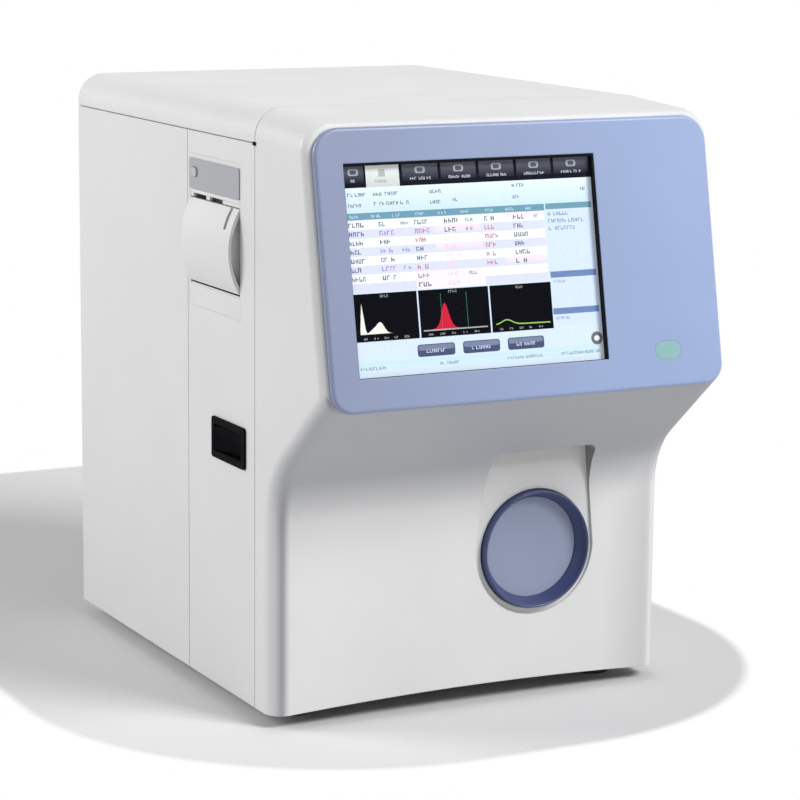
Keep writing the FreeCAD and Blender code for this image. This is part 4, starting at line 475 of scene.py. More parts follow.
def key_disc():
    """Dished face of the key with its stem."""
    steps, back, stem, stem_end = 12, 13.75, 8.0, 32.0
    profile = [(0.0, DISC_FACE + DISC_DIP)]
    for step in range(1, steps + 1):
        radius = DISC_RADIUS * step / steps
        profile.append((radius, DISC_FACE + DISC_DIP * (1 - (radius / DISC_RADIUS) ** 2)))
    profile += [(DISC_RADIUS, back), (stem, back), (stem, stem_end), (0.0, stem_end)]
    vertices, faces = lathe(profile, KEY, (0, 1, 0), 96)
    disc = piece("key_disc", vertices, faces, FINISHES["key_grey"], "aspirate_key")
    outward(disc)
    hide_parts("key_face")


def swept(name, points, radius, finish, body):
    """A round wire along points, as a mesh with capped ends."""
    curve = bpy.data.curves.new(name + "_path", "CURVE")
    curve.dimensions = "3D"
    spline = curve.splines.new("POLY")
    spline.points.add(len(points) - 1)
    for knot, spot in zip(spline.points, points):
        knot.co = (*spot, 1)
    curve.bevel_depth, curve.bevel_resolution = radius, 3
    curve.use_fill_caps = True
    mesh = worked_out(added(name + "_path", curve), name)
    made = added(name, mesh)
    mesh.materials.clear()
    mesh.materials.append(finish.material)
    outward(made, 60.0)
    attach(made, body)
    return made


def key_coil():
    """Round spring wire behind the key, on a mesh of its own."""
    low, high = (Vector(corner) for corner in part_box("key_spring"))
    middle = (low + high) / 2
    radius, wire, stroke = 15.0 * MM, 0.7 * MM, 4.3 * MM
    start, end = low.y + wire, high.y - wire
    turns, steps = 3.5, 28
    points = []
    for step in range(int(turns * steps) + 1):
        angle = 2 * math.pi * step / steps
        x, z = middle.x + radius * math.cos(angle), middle.z + radius * math.sin(angle)
        points.append((x, start + (end - start) * step / (turns * steps), z))
    coil = swept("key_coil", points, wire, FINISHES["spring_steel"], "body")
    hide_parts("key_spring")
    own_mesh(coil)


# Rear and inside details


def rear_details():
    """Screws of the rear sheet, the fan and the mains inlet, and the contacts of the sockets."""
    out, sheet, inlet, well = (0, 1, 0), 343.0, 345.5, 330.0
    spots = [at(x, sheet, z) for x in (-138.0, 138.0) for z in (40.0, 135.0, 230.0, 325.0)]
    spots += [at(x, sheet, 396.0) for x in (-70.0, 70.0)]
    screws("rear_screws", spots, out, 3.2, 1.8)
    fan = (-35.75, 35.75)
    screws("fan_screws", [at(-86.0 + x, sheet, 298.0 + z) for x in fan for z in fan], out, 3.0, 1.8)
    screws("inlet_screws", [at(-104.0 + x, inlet, 56.0) for x in (-27.4, 27.4)], out, 2.0, 1.0)
    levels = [150.0 + 22.0 * level for level in range(4)]
    tongues = [at(-62.0, well, z) for z in levels]
    pins("socket_tongues", tongues, out, (12.0, 2.2, 8.0), "black_plastic")
    gold = [at(-62.0 + x, well, z + 1.3) for z in levels for x in (-4.2, -1.4, 1.4, 4.2)]
    pins("socket_contacts", gold, out, (1.2, 0.4, 7.4), "contact_brass")


def fluid_details():
    """Terminals of the valves, marks on the barrels, the thread and the screws inside."""
    right = (1, 0, 0)
    valves = [(y, z) for y in (227.0, 269.0, 311.0) for z in (165.0, 195.0)]
    blades = [at(8.0, y + side, z) for y, z in valves for side in (-3.5, 3.5)]
    pins("valve_blades", blades, right, (3.0, 0.8, 5.0), "contact_brass")
    corners = [at(-18.0, y, z) for y in (210.5, 327.5) for z in (154.5, 205.5)]
    screws("valve_screws", corners, right, 2.4, 1.4)
    barrels = ((66.0, 11.0), (92.0, 8.0), (140.0, 11.0))
    for number, (y, radius) in enumerate(barrels, 1):
        foot = at(116.0, y, 134.0)
        rings(f"barrel_marks_{number}", foot, radius + 0.02, 0.16, 11, 5.0, "black_plastic")
    threaded_screw()


def threaded_screw():
    """Lead screw with a two-start thread between its plain ends."""
    x, y, bottom, top, plain = 116.0, 115.0, 43.6, 122.0, 3.0
    low, high, lead, starts, root, tooth = 51.0, 114.0, 8.0, 2, 3.15, 0.85
    turns, rows = 36, 168
    profile = [(bottom, plain), (low - 0.01, plain)]
    profile += [(low + (high - low) * row / rows, None) for row in range(rows + 1)]
    profile += [(high + 0.01, plain), (top, plain)]
    vertices = [at(x, y, bottom)]
    for z, radius in profile:
        for step in range(turns):
            angle = 2 * math.pi * step / turns
            reach = radius
            if reach is None:
                phase = ((z - lead * step / turns) / (lead / starts)) % 1.0
                reach = root + tooth * min(1.0, max(0.0, 1.6 - abs(phase - 0.5) * 4.4))
            vertices.append(at(x + reach * math.cos(angle), y + reach * math.sin(angle), z))
    vertices.append(at(x, y, top))
    last, cap = len(vertices) - 1, 1 + (len(profile) - 1) * turns
    faces = []
    for step in range(turns):
        after = (step + 1) % turns
        faces += [(0, 1 + after, 1 + step), (last, cap + step, cap + after)]
        for base in range(1, cap, turns):
            above = base + turns
            faces.append((base + step, base + after, above + after, above + step))
    steel = FINISHES["bright_steel"]
    screw = piece("threaded_screw", vertices, faces, steel, "screw")
    outward(screw)
    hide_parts("lead_screw")


# Power switch


def rocker_cap():
    """Rocker that stands only a little out of its frame, dished to its middle."""
    low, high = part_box("switch_rocker")
    centre = Vector((-141.0, -69.807, 0.0)) * MM
    clear, ease, inset = 0.985, 0.5 * MM, 2.6 * MM
    half = (high[1] - low[1]) / 2 * clear
    front, back, wing = -5.9 * MM, 4.8 * MM, -0.5 * MM
    outline = [(-3.5 * MM, 0.0), (front, -half), (wing, -half), (back, 0.0), (wing, half)]
    outline.append((front, half))
    tilt = Matrix.Rotation(math.radians(8.0), 3, "Z")
    middle = Vector((-1.0 * MM, 0.0, 0.0))
    bottom, top = low[2] + inset, high[2] - inset
    vertices = []
    for z, shrink in ((bottom, ease), (bottom + ease, 0.0), (top - ease, 0.0), (top, ease)):
        for x, y in outline:
            spot = Vector((x, y, 0.0))
            spot += (middle - spot).normalized() * shrink
            vertices.append(centre + tilt @ spot + Vector((0.0, 0.0, z)))
    count = len(outline)
    faces = [tuple(range(count)), tuple(range(4 * count - 1, 3 * count - 1, -1))]
    for base in range(0, 3 * count, count):
        for k in range(count):
            n = (k + 1) % count
            faces.append((base + k, base + count + k, base + count + n, base + n))
    cap = piece("rocker_cap", vertices, faces, FINISHES["rocker_black"], "rocker")
    outward(cap)
    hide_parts("switch_rocker")


# Printer


def bar_x(x_ends, y_ends, z_ends, ease):
    """Vertices and faces of a bar along y with its front edges eased."""
    (x0, x1), (y0, y1), (z0, z1) = x_ends, y_ends, z_ends
    ring = [(x1, z0), (x0 + ease, z0), (x0 + ease * 0.3, z0 + ease * 0.3), (x0, z0 + ease)]
    ring += [(x0, z1 - ease), (x0 + ease * 0.3, z1 - ease * 0.3), (x0 + ease, z1), (x1, z1)]
    vertices = [at(x, y, z) for y in (y0, y1) for x, z in ring]
    count = len(ring)
    faces = [tuple(range(count)), tuple(range(2 * count - 1, count - 1, -1))]
    for k in range(count):
        n = (k + 1) % count
        faces.append((k, k + count, n + count, n))
    return vertices, faces


def printer_trim():
    """White lip under the grey strip, stops in the paper slot, sill bead, and a black bar as
    painted shade in the notch at the top of the seam on the left side.
    """
    long, slot, slot_z = (51.2, 132.6), (-149.9, -147.4), (341.7, 344.3)
    white, black = "door_white", "black_plastic"
    for name, x_ends, y_ends, z_ends, ease, slot_name in (
        ("printer_lip", (-150.0, -147.2), long, (344.2, 347.2), 0.7, white),
        ("slot_front_stop", slot, (51.2, 79.0), slot_z, 0.4, white),
        ("slot_middle_stop", slot, (100.5, 106.0), slot_z, 0.4, white),
        ("slot_rear_stop", slot, (127.5, 132.6), slot_z, 0.4, white),
        ("printer_sill_bead", (-150.0, -149.0), long, (282.1, 283.2), 0.4, white),
        # Painted shade: a black bar in the notch at the top of the seam.
        ("seam_notch_shade", (-150.5, -149.4), (25.4, 30.2), (385.2, 387.6), 0.3, black),
    ):
        vertices, faces = bar_x(x_ends, y_ends, z_ends, ease)
        outward(piece(name, vertices, faces, FINISHES[slot_name], "body"))


# Display

# Ends of the window on the panel, and the depth of the picture and its layers, in millimetres.
SCREEN_LEFT, SCREEN_RIGHT = -125.7, 56.6
SCREEN_LOW, SCREEN_HIGH = 21.5, 156.6
PICTURE_DEPTH = 4.9
LAYER_DEPTH = 0.02
PICTURE_SEED = 7


def screen_lining():
    """Dark lining of the window: broad above and on the right, a thin line elsewhere."""
    outer = ((SCREEN_LEFT, SCREEN_LOW), (SCREEN_RIGHT, SCREEN_HIGH))
    inner = ((SCREEN_LEFT + 0.4, SCREEN_LOW + 0.4), (SCREEN_RIGHT - 1.6, SCREEN_HIGH - 1.6))
    vertices = []
    for depth in (0.6, 3.0):
        for (x0, z0), (x1, z1) in (outer, inner):
            vertices += [on_panel(x, depth, z) for x, z in ((x0, z0), (x1, z0), (x1, z1), (x0, z1))]
    faces = []
    for k in range(4):
        n = (k + 1) % 4
        faces += [(k, n, n + 4, k + 4), (k + 8, k + 12, n + 12, n + 8)]
        faces += [(k, k + 8, n + 8, n), (k + 4, n + 4, n + 12, k + 12)]
    black = FINISHES["gasket_black"]
    lining = piece("screen_lining", vertices, faces, black, "body")
    outward(lining)
    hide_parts("screen_gasket")


class Picture:
    """Flat coloured faces laid on the display, in shares of its width and height."""

    def __init__(self):
        self.vertices, self.faces, self.paints = [], [], []
        self.chance = random.Random(PICTURE_SEED)

    def shape(self, points, colour, layer):
        """One face; each layer lies a little before the last."""
        first = len(self.vertices)
        for x, y in points:
            across = SCREEN_LEFT + (SCREEN_RIGHT - SCREEN_LEFT) * x
            up = SCREEN_HIGH + (SCREEN_LOW - SCREEN_HIGH) * y
            self.vertices.append(on_panel(across, PICTURE_DEPTH - LAYER_DEPTH * layer, up))
        self.faces.append(tuple(range(first, first + len(points))))
        self.paints.append(colour)

    def box(self, x0, y0, x1, y1, colour, layer, corner=0.0):
        """A box, square or with round corners."""
        if not corner:
            self.shape([(x0, y1), (x1, y1), (x1, y0), (x0, y0)], colour, layer)
            return
        tall, steps = corner * 4 / 3, 6
        left, right, top, bottom = x0 + corner, x1 - corner, y0 + tall, y1 - tall
        centres = ((right, bottom, 0), (left, bottom, 90), (left, top, 180), (right, top, 270))
        points = []
        for cx, cy, start in centres:
            for step in range(steps):
                angle = math.radians(start + 90 // (steps - 1) * step)
                points.append((cx + corner * math.cos(angle), cy + tall * math.sin(angle)))
        self.shape(points[::-1], colour, layer)

    def shaded(self, x0, y0, x1, y1, top, bottom, layer, rows=8):
        """A box that fades from its top colour to its bottom colour."""
        for row in range(rows):
            share = row / (rows - 1)
            colour = [a + (b - a) * share for a, b in zip(top, bottom)]
            step = (y1 - y0) / rows
            self.box(x0, y0 + row * step, x1, y0 + (row + 1) * step, colour, layer)

    def marks(self, x0, y, length, height, colour, layer):
        """A row of small strokes of uneven width, with gaps here and there."""
        x, chance = x0, self.chance
        low, high = y + height / 2, y - height / 2
        while x < x0 + length:
            wide = chance.uniform(0.4, 0.62) * height
            stem = wide * 0.3
            self.box(x, high, x + stem, low, colour, layer)
            if chance.random() < 0.6:
                self.box(x + wide - stem, chance.choice((high, y)), x + wide, low, colour, layer)
            bar = chance.choice((high, y - height * 0.1, low - height * 0.22))
            self.box(x + stem, bar, x + wide, bar + height * 0.2, colour, layer)
            x += wide * (2.4 if chance.random() < 0.16 else 1.35)

    def build(self):
        """The piece, with each face's colour kept as its paint."""
        made = piece("display_picture", self.vertices, self.faces, PICTURE, "body")
        paint = made.data.color_attributes.new("paint", "FLOAT_COLOR", "CORNER")
        for face, colour in zip(made.data.polygons, self.paints):
            for corner in face.loop_indices:
                paint.data[corner].color = (*colour, 1)


# Colours of the display.
INK = (0.10, 0.11, 0.16)
PALE = (0.66, 0.76, 0.88)
WHITE = (0.86, 0.89, 0.93)
LILAC = (0.68, 0.70, 0.86)
TEAL = (0.16, 0.33, 0.42)
ROSE = (0.86, 0.60, 0.62)
BLACK = (0.006, 0.006, 0.009)
# Left and right ends of the three groups of results, in shares of the display's width.
COLUMN_ENDS = ((0.012, 0.26), (0.268, 0.535), (0.545, 0.79))
# How many of the eight rows have a result, by column.
FULL_ROWS = (7, 8, 6)


def tab_bar(picture):
    """Dark bar of tabs along the top, with one of them chosen."""
    picture.box(0, 0, 1, 0.112, (0.012, 0.012, 0.02), 1)
    ends = ((0.008, 0.088), (0.096, 0.226), (0.238, 0.378), (0.39, 0.53), (0.542, 0.682))
    ends += ((0.694, 0.834), (0.846, 0.99))
    for index, (x0, x1) in enumerate(ends):
        if index == 1:
            picture.shaded(x0, 0.01, x1, 0.112, (0.80, 0.82, 0.78), (0.62, 0.64, 0.62), 2)
            picture.marks(x0 + 0.035, 0.085, 0.05, 0.014, (0.35, 0.37, 0.36), 3)
            picture.box(x0 + 0.05, 0.03, x0 + 0.075, 0.065, (0.45, 0.47, 0.46), 3)
            continue
        picture.shaded(x0, 0.012, x1, 0.1, (0.12, 0.125, 0.16), (0.012, 0.012, 0.022), 2)
        middle = (x0 + x1) / 2
        picture.box(middle - 0.02, 0.024, middle + 0.02, 0.056, (0.36, 0.38, 0.42), 3, 0.008)
        picture.box(middle - 0.012, 0.03, middle + 0.012, 0.05, (0.10, 0.10, 0.13), 4, 0.005)
        picture.marks(x0 + 0.03, 0.08, x1 - x0 - 0.06, 0.013, (0.6, 0.62, 0.66), 3)


def info_strip(picture):
    """Pale strip under the tabs."""
    picture.shaded(0, 0.112, 1, 0.23, (0.74, 0.84, 0.94), (0.62, 0.76, 0.88), 1)
    for x, y, length in (
        (0.02, 0.145, 0.07), (0.12, 0.145, 0.09), (0.34, 0.145, 0.04), (0.67, 0.135, 0.05),
        (0.02, 0.195, 0.05), (0.12, 0.19, 0.13), (0.34, 0.195, 0.04), (0.43, 0.188, 0.02),
        (0.67, 0.19, 0.02), (0.95, 0.165, 0.015),
    ):
        picture.marks(x, y, length, 0.016, INK, 2)


def results(picture):
    """Three groups of results under a teal band."""
    chance = picture.chance
    picture.box(0.005, 0.23, 0.795, 0.262, TEAL, 1)
    rows, top, bottom = 8, 0.265, 0.6
    step = (bottom - top) / rows
    for column, (x0, x1) in enumerate(COLUMN_ENDS):
        for mark in range(3):
            x = x0 + 0.01 + mark * (x1 - x0) / 3
            picture.marks(x, 0.247, 0.03, 0.013, (0.62, 0.74, 0.8), 2)
        for row in range(rows):
            y = top + row * step
            middle = y + step / 2
            ground = WHITE if row % 2 == 0 else LILAC
            if column == 1 and row >= 6:
                ground = (0.86, 0.80, 0.86)
            picture.box(x0 - 0.008, y, x1 + 0.002, y + step, ground, 1)
            if column and row < 6 and chance.random() < 0.5:
                picture.shaded(x0 + 0.08, y, x1, y + step, (0.90, 0.74, 0.78), ground, 2)
            if row >= FULL_ROWS[column]:
                continue
            ink = INK if column == 0 or chance.random() < 0.5 else (0.55, 0.16, 0.2)
            value = (0.34, 0.22, 0.55) if column == 0 and row % 2 else INK
            value = ROSE if column == 1 and row > 1 else value
            for x, colour in ((x0 + 0.003, ink), (x0 + 0.12, value)):
                picture.marks(x, middle, chance.uniform(0.035, 0.055), 0.021, colour, 3)
            if chance.random() < 0.55:
                picture.marks(x0 + 0.205, middle, 0.025, 0.016, (0.2, 0.22, 0.32), 3)


def side_column(picture):
    """Pale column of notes with its bands."""
    x0, x1 = 0.8, 0.99
    picture.box(x0, 0.23, x1, 0.82, (0.64, 0.74, 0.90), 1)
    picture.box(x0, 0.23, x1, 0.258, TEAL, 2)
    for y, length in ((0.28, 0.08), (0.315, 0.14), (0.35, 0.1)):
        picture.marks(x0 + 0.008, y, length, 0.018, (0.22, 0.27, 0.42), 2)
    for y in (0.558, 0.735):
        picture.box(x0, y, x1, y + 0.03, (0.16, 0.24, 0.46), 2)
        picture.marks(x0 + 0.01, y + 0.048, 0.05, 0.014, (0.3, 0.36, 0.5), 2)


def histograms(picture):
    """Three dark boxes with the curves of the counted cells."""
    top, bottom, foot = 0.606, 0.83, 0.035
    for x0, x1 in ((0.012, 0.258), (0.264, 0.542), (0.548, 0.797)):
        picture.box(x0, top, x1, bottom, BLACK, 1)
        picture.marks((x0 + x1) / 2 - 0.02, top + 0.014, 0.03, 0.013, (0.3, 0.32, 0.3), 2)
        for mark in range(5):
            x = x0 + 0.03 + mark * (x1 - x0 - 0.05) / 5
            picture.marks(x, bottom - 0.014, 0.014, 0.01, (0.35, 0.36, 0.36), 2)

    def curve(x0, x1, humps, level, colour, solid, layer):
        """A filled or thin curve of humps, each with its middle, width and height."""
        base, steps = bottom - foot, 40
        spots = []
        for index in range(steps + 1):
            share = index / steps
            height = 0.0
            for middle, width, tall in humps:
                height += tall * math.exp(-(((share - middle) / width) ** 2))
            spots.append((x0 + (x1 - x0) * share, base - (height + level(share))))
        for (ax, ay), (bx, by) in zip(spots, spots[1:]):
            low_a, low_b = (base, base) if solid else (ay + 0.006, by + 0.006)
            picture.shape([(ax, low_a), (bx, low_b), (bx, by), (ax, ay)], colour, layer)

    white = ((0.05, 0.035, 0.145), (0.38, 0.09, 0.05), (0.25, 0.1, 0.022))
    red = ((0.35, 0.07, 0.095), (0.35, 0.13, 0.03))
    curve(0.03, 0.24, white, lambda share: 0.0, (0.82, 0.82, 0.74), True, 2)
    curve(0.275, 0.53, red, lambda share: 0.0, (0.62, 0.02, 0.05), True, 2)
    curve(0.275, 0.53, (), lambda share: 0.001, (0.4, 0.42, 0.4), False, 3)
    green = ((0.2, 0.13, 0.022),)
    curve(0.565, 0.785, green, lambda share: 0.004 * (1 - share), (0.30, 0.55, 0.12), False, 3)
    for x in (0.452, 0.35):
        picture.box(x, top + 0.02, x + 0.0015, bottom - foot, (0.05, 0.3, 0.12), 2)


def lower_bar(picture):
    """Three rounded keys, a round mark and the status line."""
    picture.box(0, 0.828, 1, 0.925, (0.66, 0.76, 0.9), 1)
    for x0 in (0.245, 0.425, 0.605):
        picture.box(x0, 0.86, x0 + 0.148, 0.918, (0.07, 0.09, 0.17), 2, 0.01)
        picture.box(x0 + 0.004, 0.864, x0 + 0.144, 0.888, (0.20, 0.23, 0.34), 3, 0.008)
        picture.marks(x0 + 0.035, 0.893, 0.07, 0.016, (0.62, 0.66, 0.76), 4)
    cx, cy, steps = 0.972, 0.893, 28
    ring = []
    for step in range(steps):
        angle = 2 * math.pi * step / steps
        ring.append((cx + 0.024 * math.cos(angle), cy - 0.032 * math.sin(angle)))
    picture.shape(ring, (0.16, 0.17, 0.2), 3)
    picture.shape([(cx + (x - cx) * 0.5, cy + (y - cy) * 0.4) for x, y in ring], WHITE, 4)
    picture.shaded(0, 0.925, 1, 1, (0.58, 0.76, 0.80), (0.70, 0.80, 0.90), 2, 4)
    for x, length in ((0.02, 0.09), (0.33, 0.07), (0.60, 0.14), (0.82, 0.16)):
        picture.marks(x, 0.955, length, 0.014, (0.22, 0.28, 0.34), 3)


def display_picture():
    """The lit picture behind the glass."""
    picture = Picture()
    picture.box(0, 0, 1, 1, PALE, 0)
    for part in (tab_bar, info_strip, results, side_column, histograms, lower_bar):
        part(picture)
    picture.build()


# Repeated small parts, by geometry nodes


class ShapeTree(NodeTree):
    """A geometry tree with named inputs that ends in a real mesh with its finish."""

    def __init__(self, name, *inputs):
        super().__init__(bpy.data.node_groups.new(name, "GeometryNodeTree"))
        new_socket = self.tree.interface.new_socket
        new_socket("Geometry", in_out="OUTPUT", socket_type="NodeSocketGeometry")
        ends = ("Geometry", "Geometry", None), ("Finish", "Material", None)
        for label, kind, value in (ends[0], *inputs, ends[1]):
            made = new_socket(label, in_out="INPUT", socket_type="NodeSocket" + kind)
            if value is not None:
                made.default_value = value
        self.start = self.node("NodeGroupInput").outputs

    def instances(self, points, shape, **feeds):
        """The shape, set on points."""
        feeds = {"Points": points, "Instance": shape, **feeds}
        return self.node("GeometryNodeInstanceOnPoints", feeds).outputs["Instances"]

    def on_seats(self, shape):
        """The shape once on each seat, at its first corner and turned to its facing."""
        corner = self.maths("MODULO", self.node("GeometryNodeInputIndex").outputs[0], 3.0)
        feeds = {2: corner, 3: 0}
        first = self.node("FunctionNodeCompare", feeds, data_type="INT", operation="EQUAL")
        facing = self.node("GeometryNodeInputNormal").outputs["Normal"]
        turn = self.node("FunctionNodeAlignRotationToVector", {"Vector": facing}, axis="Z")
        feeds = {"Selection": first.outputs[0], "Rotation": turn.outputs["Rotation"]}
        return self.real(self.instances(self.start["Geometry"], shape, **feeds))

    def real(self, instances):
        """End the tree with the real mesh of its instances, in the finish it is given."""
        real = self.node("GeometryNodeRealizeInstances", {"Geometry": instances})
        feeds = {"Geometry": real.outputs["Geometry"], "Material": self.start["Finish"]}
        coat = self.node("GeometryNodeSetMaterial", feeds)
        self.node("NodeGroupOutput", {"Geometry": coat.outputs["Geometry"]})
        return self.tree


def screw_tree():
    """Pan heads with a cross recess, one on each seat."""
    sizes = ("Head radius", "Float", 0.0032), ("Head height", "Float", 0.0018)
    tree = ShapeTree("pan_head_screws", *sizes)
    radius, height = tree.start["Head radius"], tree.start["Head height"]
    feeds = {"Vertices": 24, "Radius Bottom": radius, "Depth": height}
    feeds["Radius Top"] = tree.maths("MULTIPLY", radius, 0.72)
    head = tree.node("GeometryNodeMeshCone", feeds)
    long, thin = tree.maths("MULTIPLY", radius, 1.15), tree.maths("MULTIPLY", radius, 0.26)
    rise = tree.node("ShaderNodeCombineXYZ", {"Z": height}).outputs[0]
    bars = tree.node("GeometryNodeJoinGeometry")
    for wide, deep in ((long, thin), (thin, long)):
        size = tree.node("ShaderNodeCombineXYZ", {"X": wide, "Y": deep, "Z": height})
        bar = tree.node("GeometryNodeMeshCube", {"Size": size.outputs[0]})
        feeds = {"Geometry": bar.outputs["Mesh"], "Translation": rise}
        lift = tree.node("GeometryNodeTransform", feeds)
        tree.feed(bars.inputs[0], lift.outputs["Geometry"])
    feeds = {"Mesh 1": head.outputs["Mesh"], "Mesh 2": bars.outputs[0]}
    carve = tree.node("GeometryNodeMeshBoolean", feeds, operation="DIFFERENCE")
    return tree.on_seats(carve.outputs["Mesh"])


def blade_tree():
    """Small bars of one size, one on each seat."""
    tree = ShapeTree("contact_blades", ("Size", "Vector", (0.001, 0.001, 0.004)))
    bar = tree.node("GeometryNodeMeshCube", {"Size": tree.start["Size"]})
    return tree.on_seats(bar.outputs["Mesh"])


def ring_tree():
    """A pile of wire rings, counted upwards from the point of a mesh."""
    sizes = ("Radius", "Float", 0.01), ("Wire", "Float", 0.0002), ("Step", "Float", 0.005)
    tree = ShapeTree("ring_pile", *sizes, ("Count", "Int", 5))
    start, circle = tree.start, "GeometryNodeCurvePrimitiveCircle"
    loop = tree.node(circle, {"Resolution": 64, "Radius": start["Radius"]})
    wire = tree.node(circle, {"Resolution": 6, "Radius": start["Wire"]})
    feeds = {"Curve": loop.outputs[0], "Profile Curve": wire.outputs[0]}
    ring = tree.node("GeometryNodeCurveToMesh", feeds)
    rise = tree.node("ShaderNodeCombineXYZ", {"Z": start["Step"]})
    line = tree.node("GeometryNodeMeshLine", {"Count": start["Count"], "Offset": rise.outputs[0]})
    pile = tree.instances(line.outputs["Mesh"], ring.outputs["Mesh"])
    return tree.real(tree.instances(start["Geometry"], pile))


def baked(name, tree, points, values, body):
    """Plain mesh of a geometry tree set on a small mesh of points."""
    vertices, faces = points
    mesh = bpy.data.meshes.new(name + "_seats")
    mesh.from_pydata([tuple(v) for v in vertices], [], faces)
    seats = added(name + "_seats", mesh)
    modifier = seats.modifiers.new(name, "NODES")
    modifier.node_group = tree
    for item in tree.interface.items_tree:
        if item.name in values:
            modifier[item.identifier] = values[item.name]
    made = added(name, worked_out(seats, name))
    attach(made, body)
    return made


def seats_facing(spots, facing):
    """Tiny triangles that all face one way, one at each spot."""
    facing = Vector(facing)
    tiny = 1e-5
    side = facing.orthogonal().normalized() * tiny
    up = facing.cross(side).normalized() * tiny
    vertices, faces = [], []
    for spot in spots:
        first = len(vertices)
        vertices += [spot, spot + side, spot + up]
        faces.append((first, first + 1, first + 2))
    return vertices, faces


def screws(name, spots, facing, radius, height):
    """One mesh of screw heads at the given places, all facing one way."""
    values = {"Head radius": radius * MM, "Head height": height * MM}
    values["Finish"] = FINISHES["bright_steel"].material
    baked(name, SCREWS, seats_facing(spots, facing), values, "body")


def pins(name, spots, facing, size, finish):
    """One mesh of small contact blades, standing out of the given places."""
    spots = [spot + Vector(facing) * size[2] / 2 * MM for spot in spots]
    values = {"Size": tuple(part * MM for part in size), "Finish": FINISHES[finish].material}
    baked(name, BLADES, seats_facing(spots, facing), values, "body")


def rings(name, spot, radius, wire, count, step, finish):
    """One mesh of equal rings, one above another, round an upright axis."""
    values = {"Radius": radius * MM, "Wire": wire * MM, "Count": count, "Step": step * MM}
    values["Finish"] = FINISHES[finish].material
    baked(name, RINGS, ([spot], []), values, "body")


# Stage


# A painted shadow, the pale grey patch of floor round the machine: its middle, half sizes and
# corner, in metres.
SHADOW_PATCH_MIDDLE = (-0.006, 0.225)
SHADOW_PATCH_HALF = (0.268, 0.475)
SHADOW_PATCH_CORNER = 0.23
SHADOW_PATCH_SOFT = 0.004


def floor_finish():
    """Painted shadow: lit grey paper in a rounded patch round the machine, plain white further out.
    """
    finish = Finish("floor_paper", (0.72, 0.72, 0.72), 0.95).mottle(3.0, 0.01)

    def vector(operation, *sides):
        feeds = dict(enumerate(sides))
        return finish.node("ShaderNodeVectorMath", feeds, operation=operation).outputs

    spot = vector("SUBTRACT", finish.place, (*SHADOW_PATCH_MIDDLE, 0))[0]
    near = vector("ABSOLUTE", vector("MULTIPLY", spot, (1, 1, 0))[0])[0]
    straight = (*(half - SHADOW_PATCH_CORNER for half in SHADOW_PATCH_HALF), 0)
    past = vector("MAXIMUM", vector("SUBTRACT", near, straight)[0], (0, 0, 0))[0]
    far = vector("LENGTH", past)["Value"]
    # Painted shadow: outside the patch the camera sees plain white; inside it, the lit grey paper.
    outside = finish.ranged(far, 0, 1, SHADOW_PATCH_CORNER - SHADOW_PATCH_SOFT, SHADOW_PATCH_CORNER + SHADOW_PATCH_SOFT)
    path = finish.node("ShaderNodeLightPath").outputs
    seen = finish.maths("MULTIPLY", outside, path["Is Camera Ray"])
    white = finish.node("ShaderNodeEmission").outputs[0]
    finish.shade("Material Output", seen, finish.shader.outputs[0], white)
    return finish


# Name, place, power in watts and width of each lamp.
LAMPS = (
    ("left_light", (-2.7, 1.9, 1.6), 76.0, 1.6),
    ("high_light", (1.9, -3.2, 3.3), 186.0, 1.8),
)


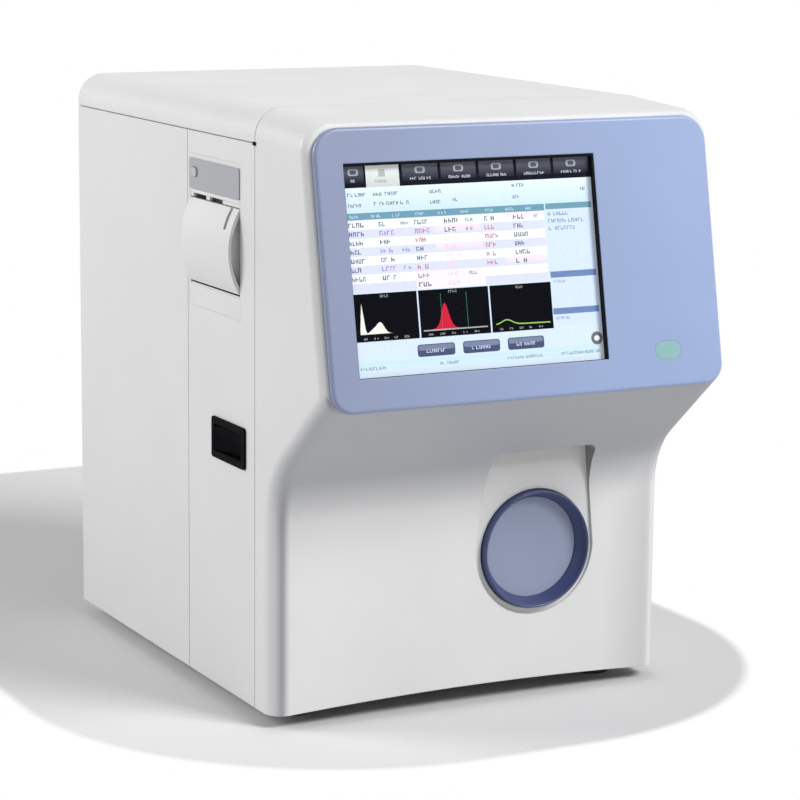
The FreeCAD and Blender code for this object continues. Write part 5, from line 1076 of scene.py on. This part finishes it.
def floor_and_light():
    """Pale floor with a painted shadow round the machine, white surroundings, soft studio light."""
    size = 6.0
    mesh = bpy.data.meshes.new("floor")
    corners = [(-size, -size, 0), (size, -size, 0), (size, size, 0), (-size, size, 0)]
    mesh.from_pydata(corners, [], [(0, 1, 2, 3)])
    floor = added("floor", mesh)
    mesh.materials.append(floor_finish().material)

    world = bpy.data.worlds.new("studio")
    bpy.context.scene.world = world
    world.use_nodes = True
    sky = NodeTree(world.node_tree)
    dim = sky.tree.nodes["Background"]
    sky.feed(dim.inputs["Color"], (0.97, 0.98, 1.0))
    sky.feed(dim.inputs["Strength"], 0.30)
    white = sky.node("ShaderNodeBackground", {"Color": (1, 1, 1), "Strength": 1.0})
    path = sky.node("ShaderNodeLightPath").outputs
    clear = sky.maths("MAXIMUM", path["Is Glossy Ray"], path["Is Transmission Ray"])
    seen = sky.maths("MAXIMUM", path["Is Camera Ray"], clear)
    sky.shade("World Output", seen, dim.outputs[0], white.outputs[0])

    for name, place, power, width in LAMPS:
        lamp = bpy.data.lights.new(name, "AREA")
        lamp.energy, lamp.size = power, width
        holder = added(name, lamp)
        holder.location = place
        aim = Vector((0, 0, 0.2)) - Vector(place)
        holder.rotation_euler = aim.to_track_quat("-Z", "Y").to_euler()


def camera():
    """The photograph's viewpoint, as fitted to its points."""
    picture, sensor = 800, 36.0
    azimuth, elevation, roll = (math.radians(part) for part in (-27.56, 10.49, 0.58))
    level = math.cos(elevation)
    back = Vector((math.sin(azimuth) * level, -math.cos(azimuth) * level, math.sin(elevation)))
    right = Vector((math.cos(azimuth), math.sin(azimuth), 0))
    up = back.cross(right)
    right_rolled = right * math.cos(roll) + up * math.sin(roll)
    up_rolled = up * math.cos(roll) - right * math.sin(roll)
    target, away = at(-1.89, 99.7, 201.88), 1973.48
    lens = bpy.data.cameras.new("camera")
    lens.sensor_width = sensor
    lens.lens = 2809.52 / picture * sensor
    lens.shift_x = -4.31 / picture
    lens.shift_y = -10.49 / picture
    holder = added("camera", lens)
    turn = Matrix((right_rolled, up_rolled, back)).transposed().to_4x4()
    holder.matrix_world = Matrix.Translation(target + back * away * MM) @ turn
    bpy.context.scene.camera = holder


dress_nodes()
key_ring()
key_seat()
key_disc()
key_coil()
SCREWS, BLADES, RINGS = screw_tree(), blade_tree(), ring_tree()
screen_lining()
display_picture()
printer_trim()
rocker_cap()
rear_details()
fluid_details()
floor_and_light()
camera()
bpy.context.scene.view_settings.view_transform = "Standard"
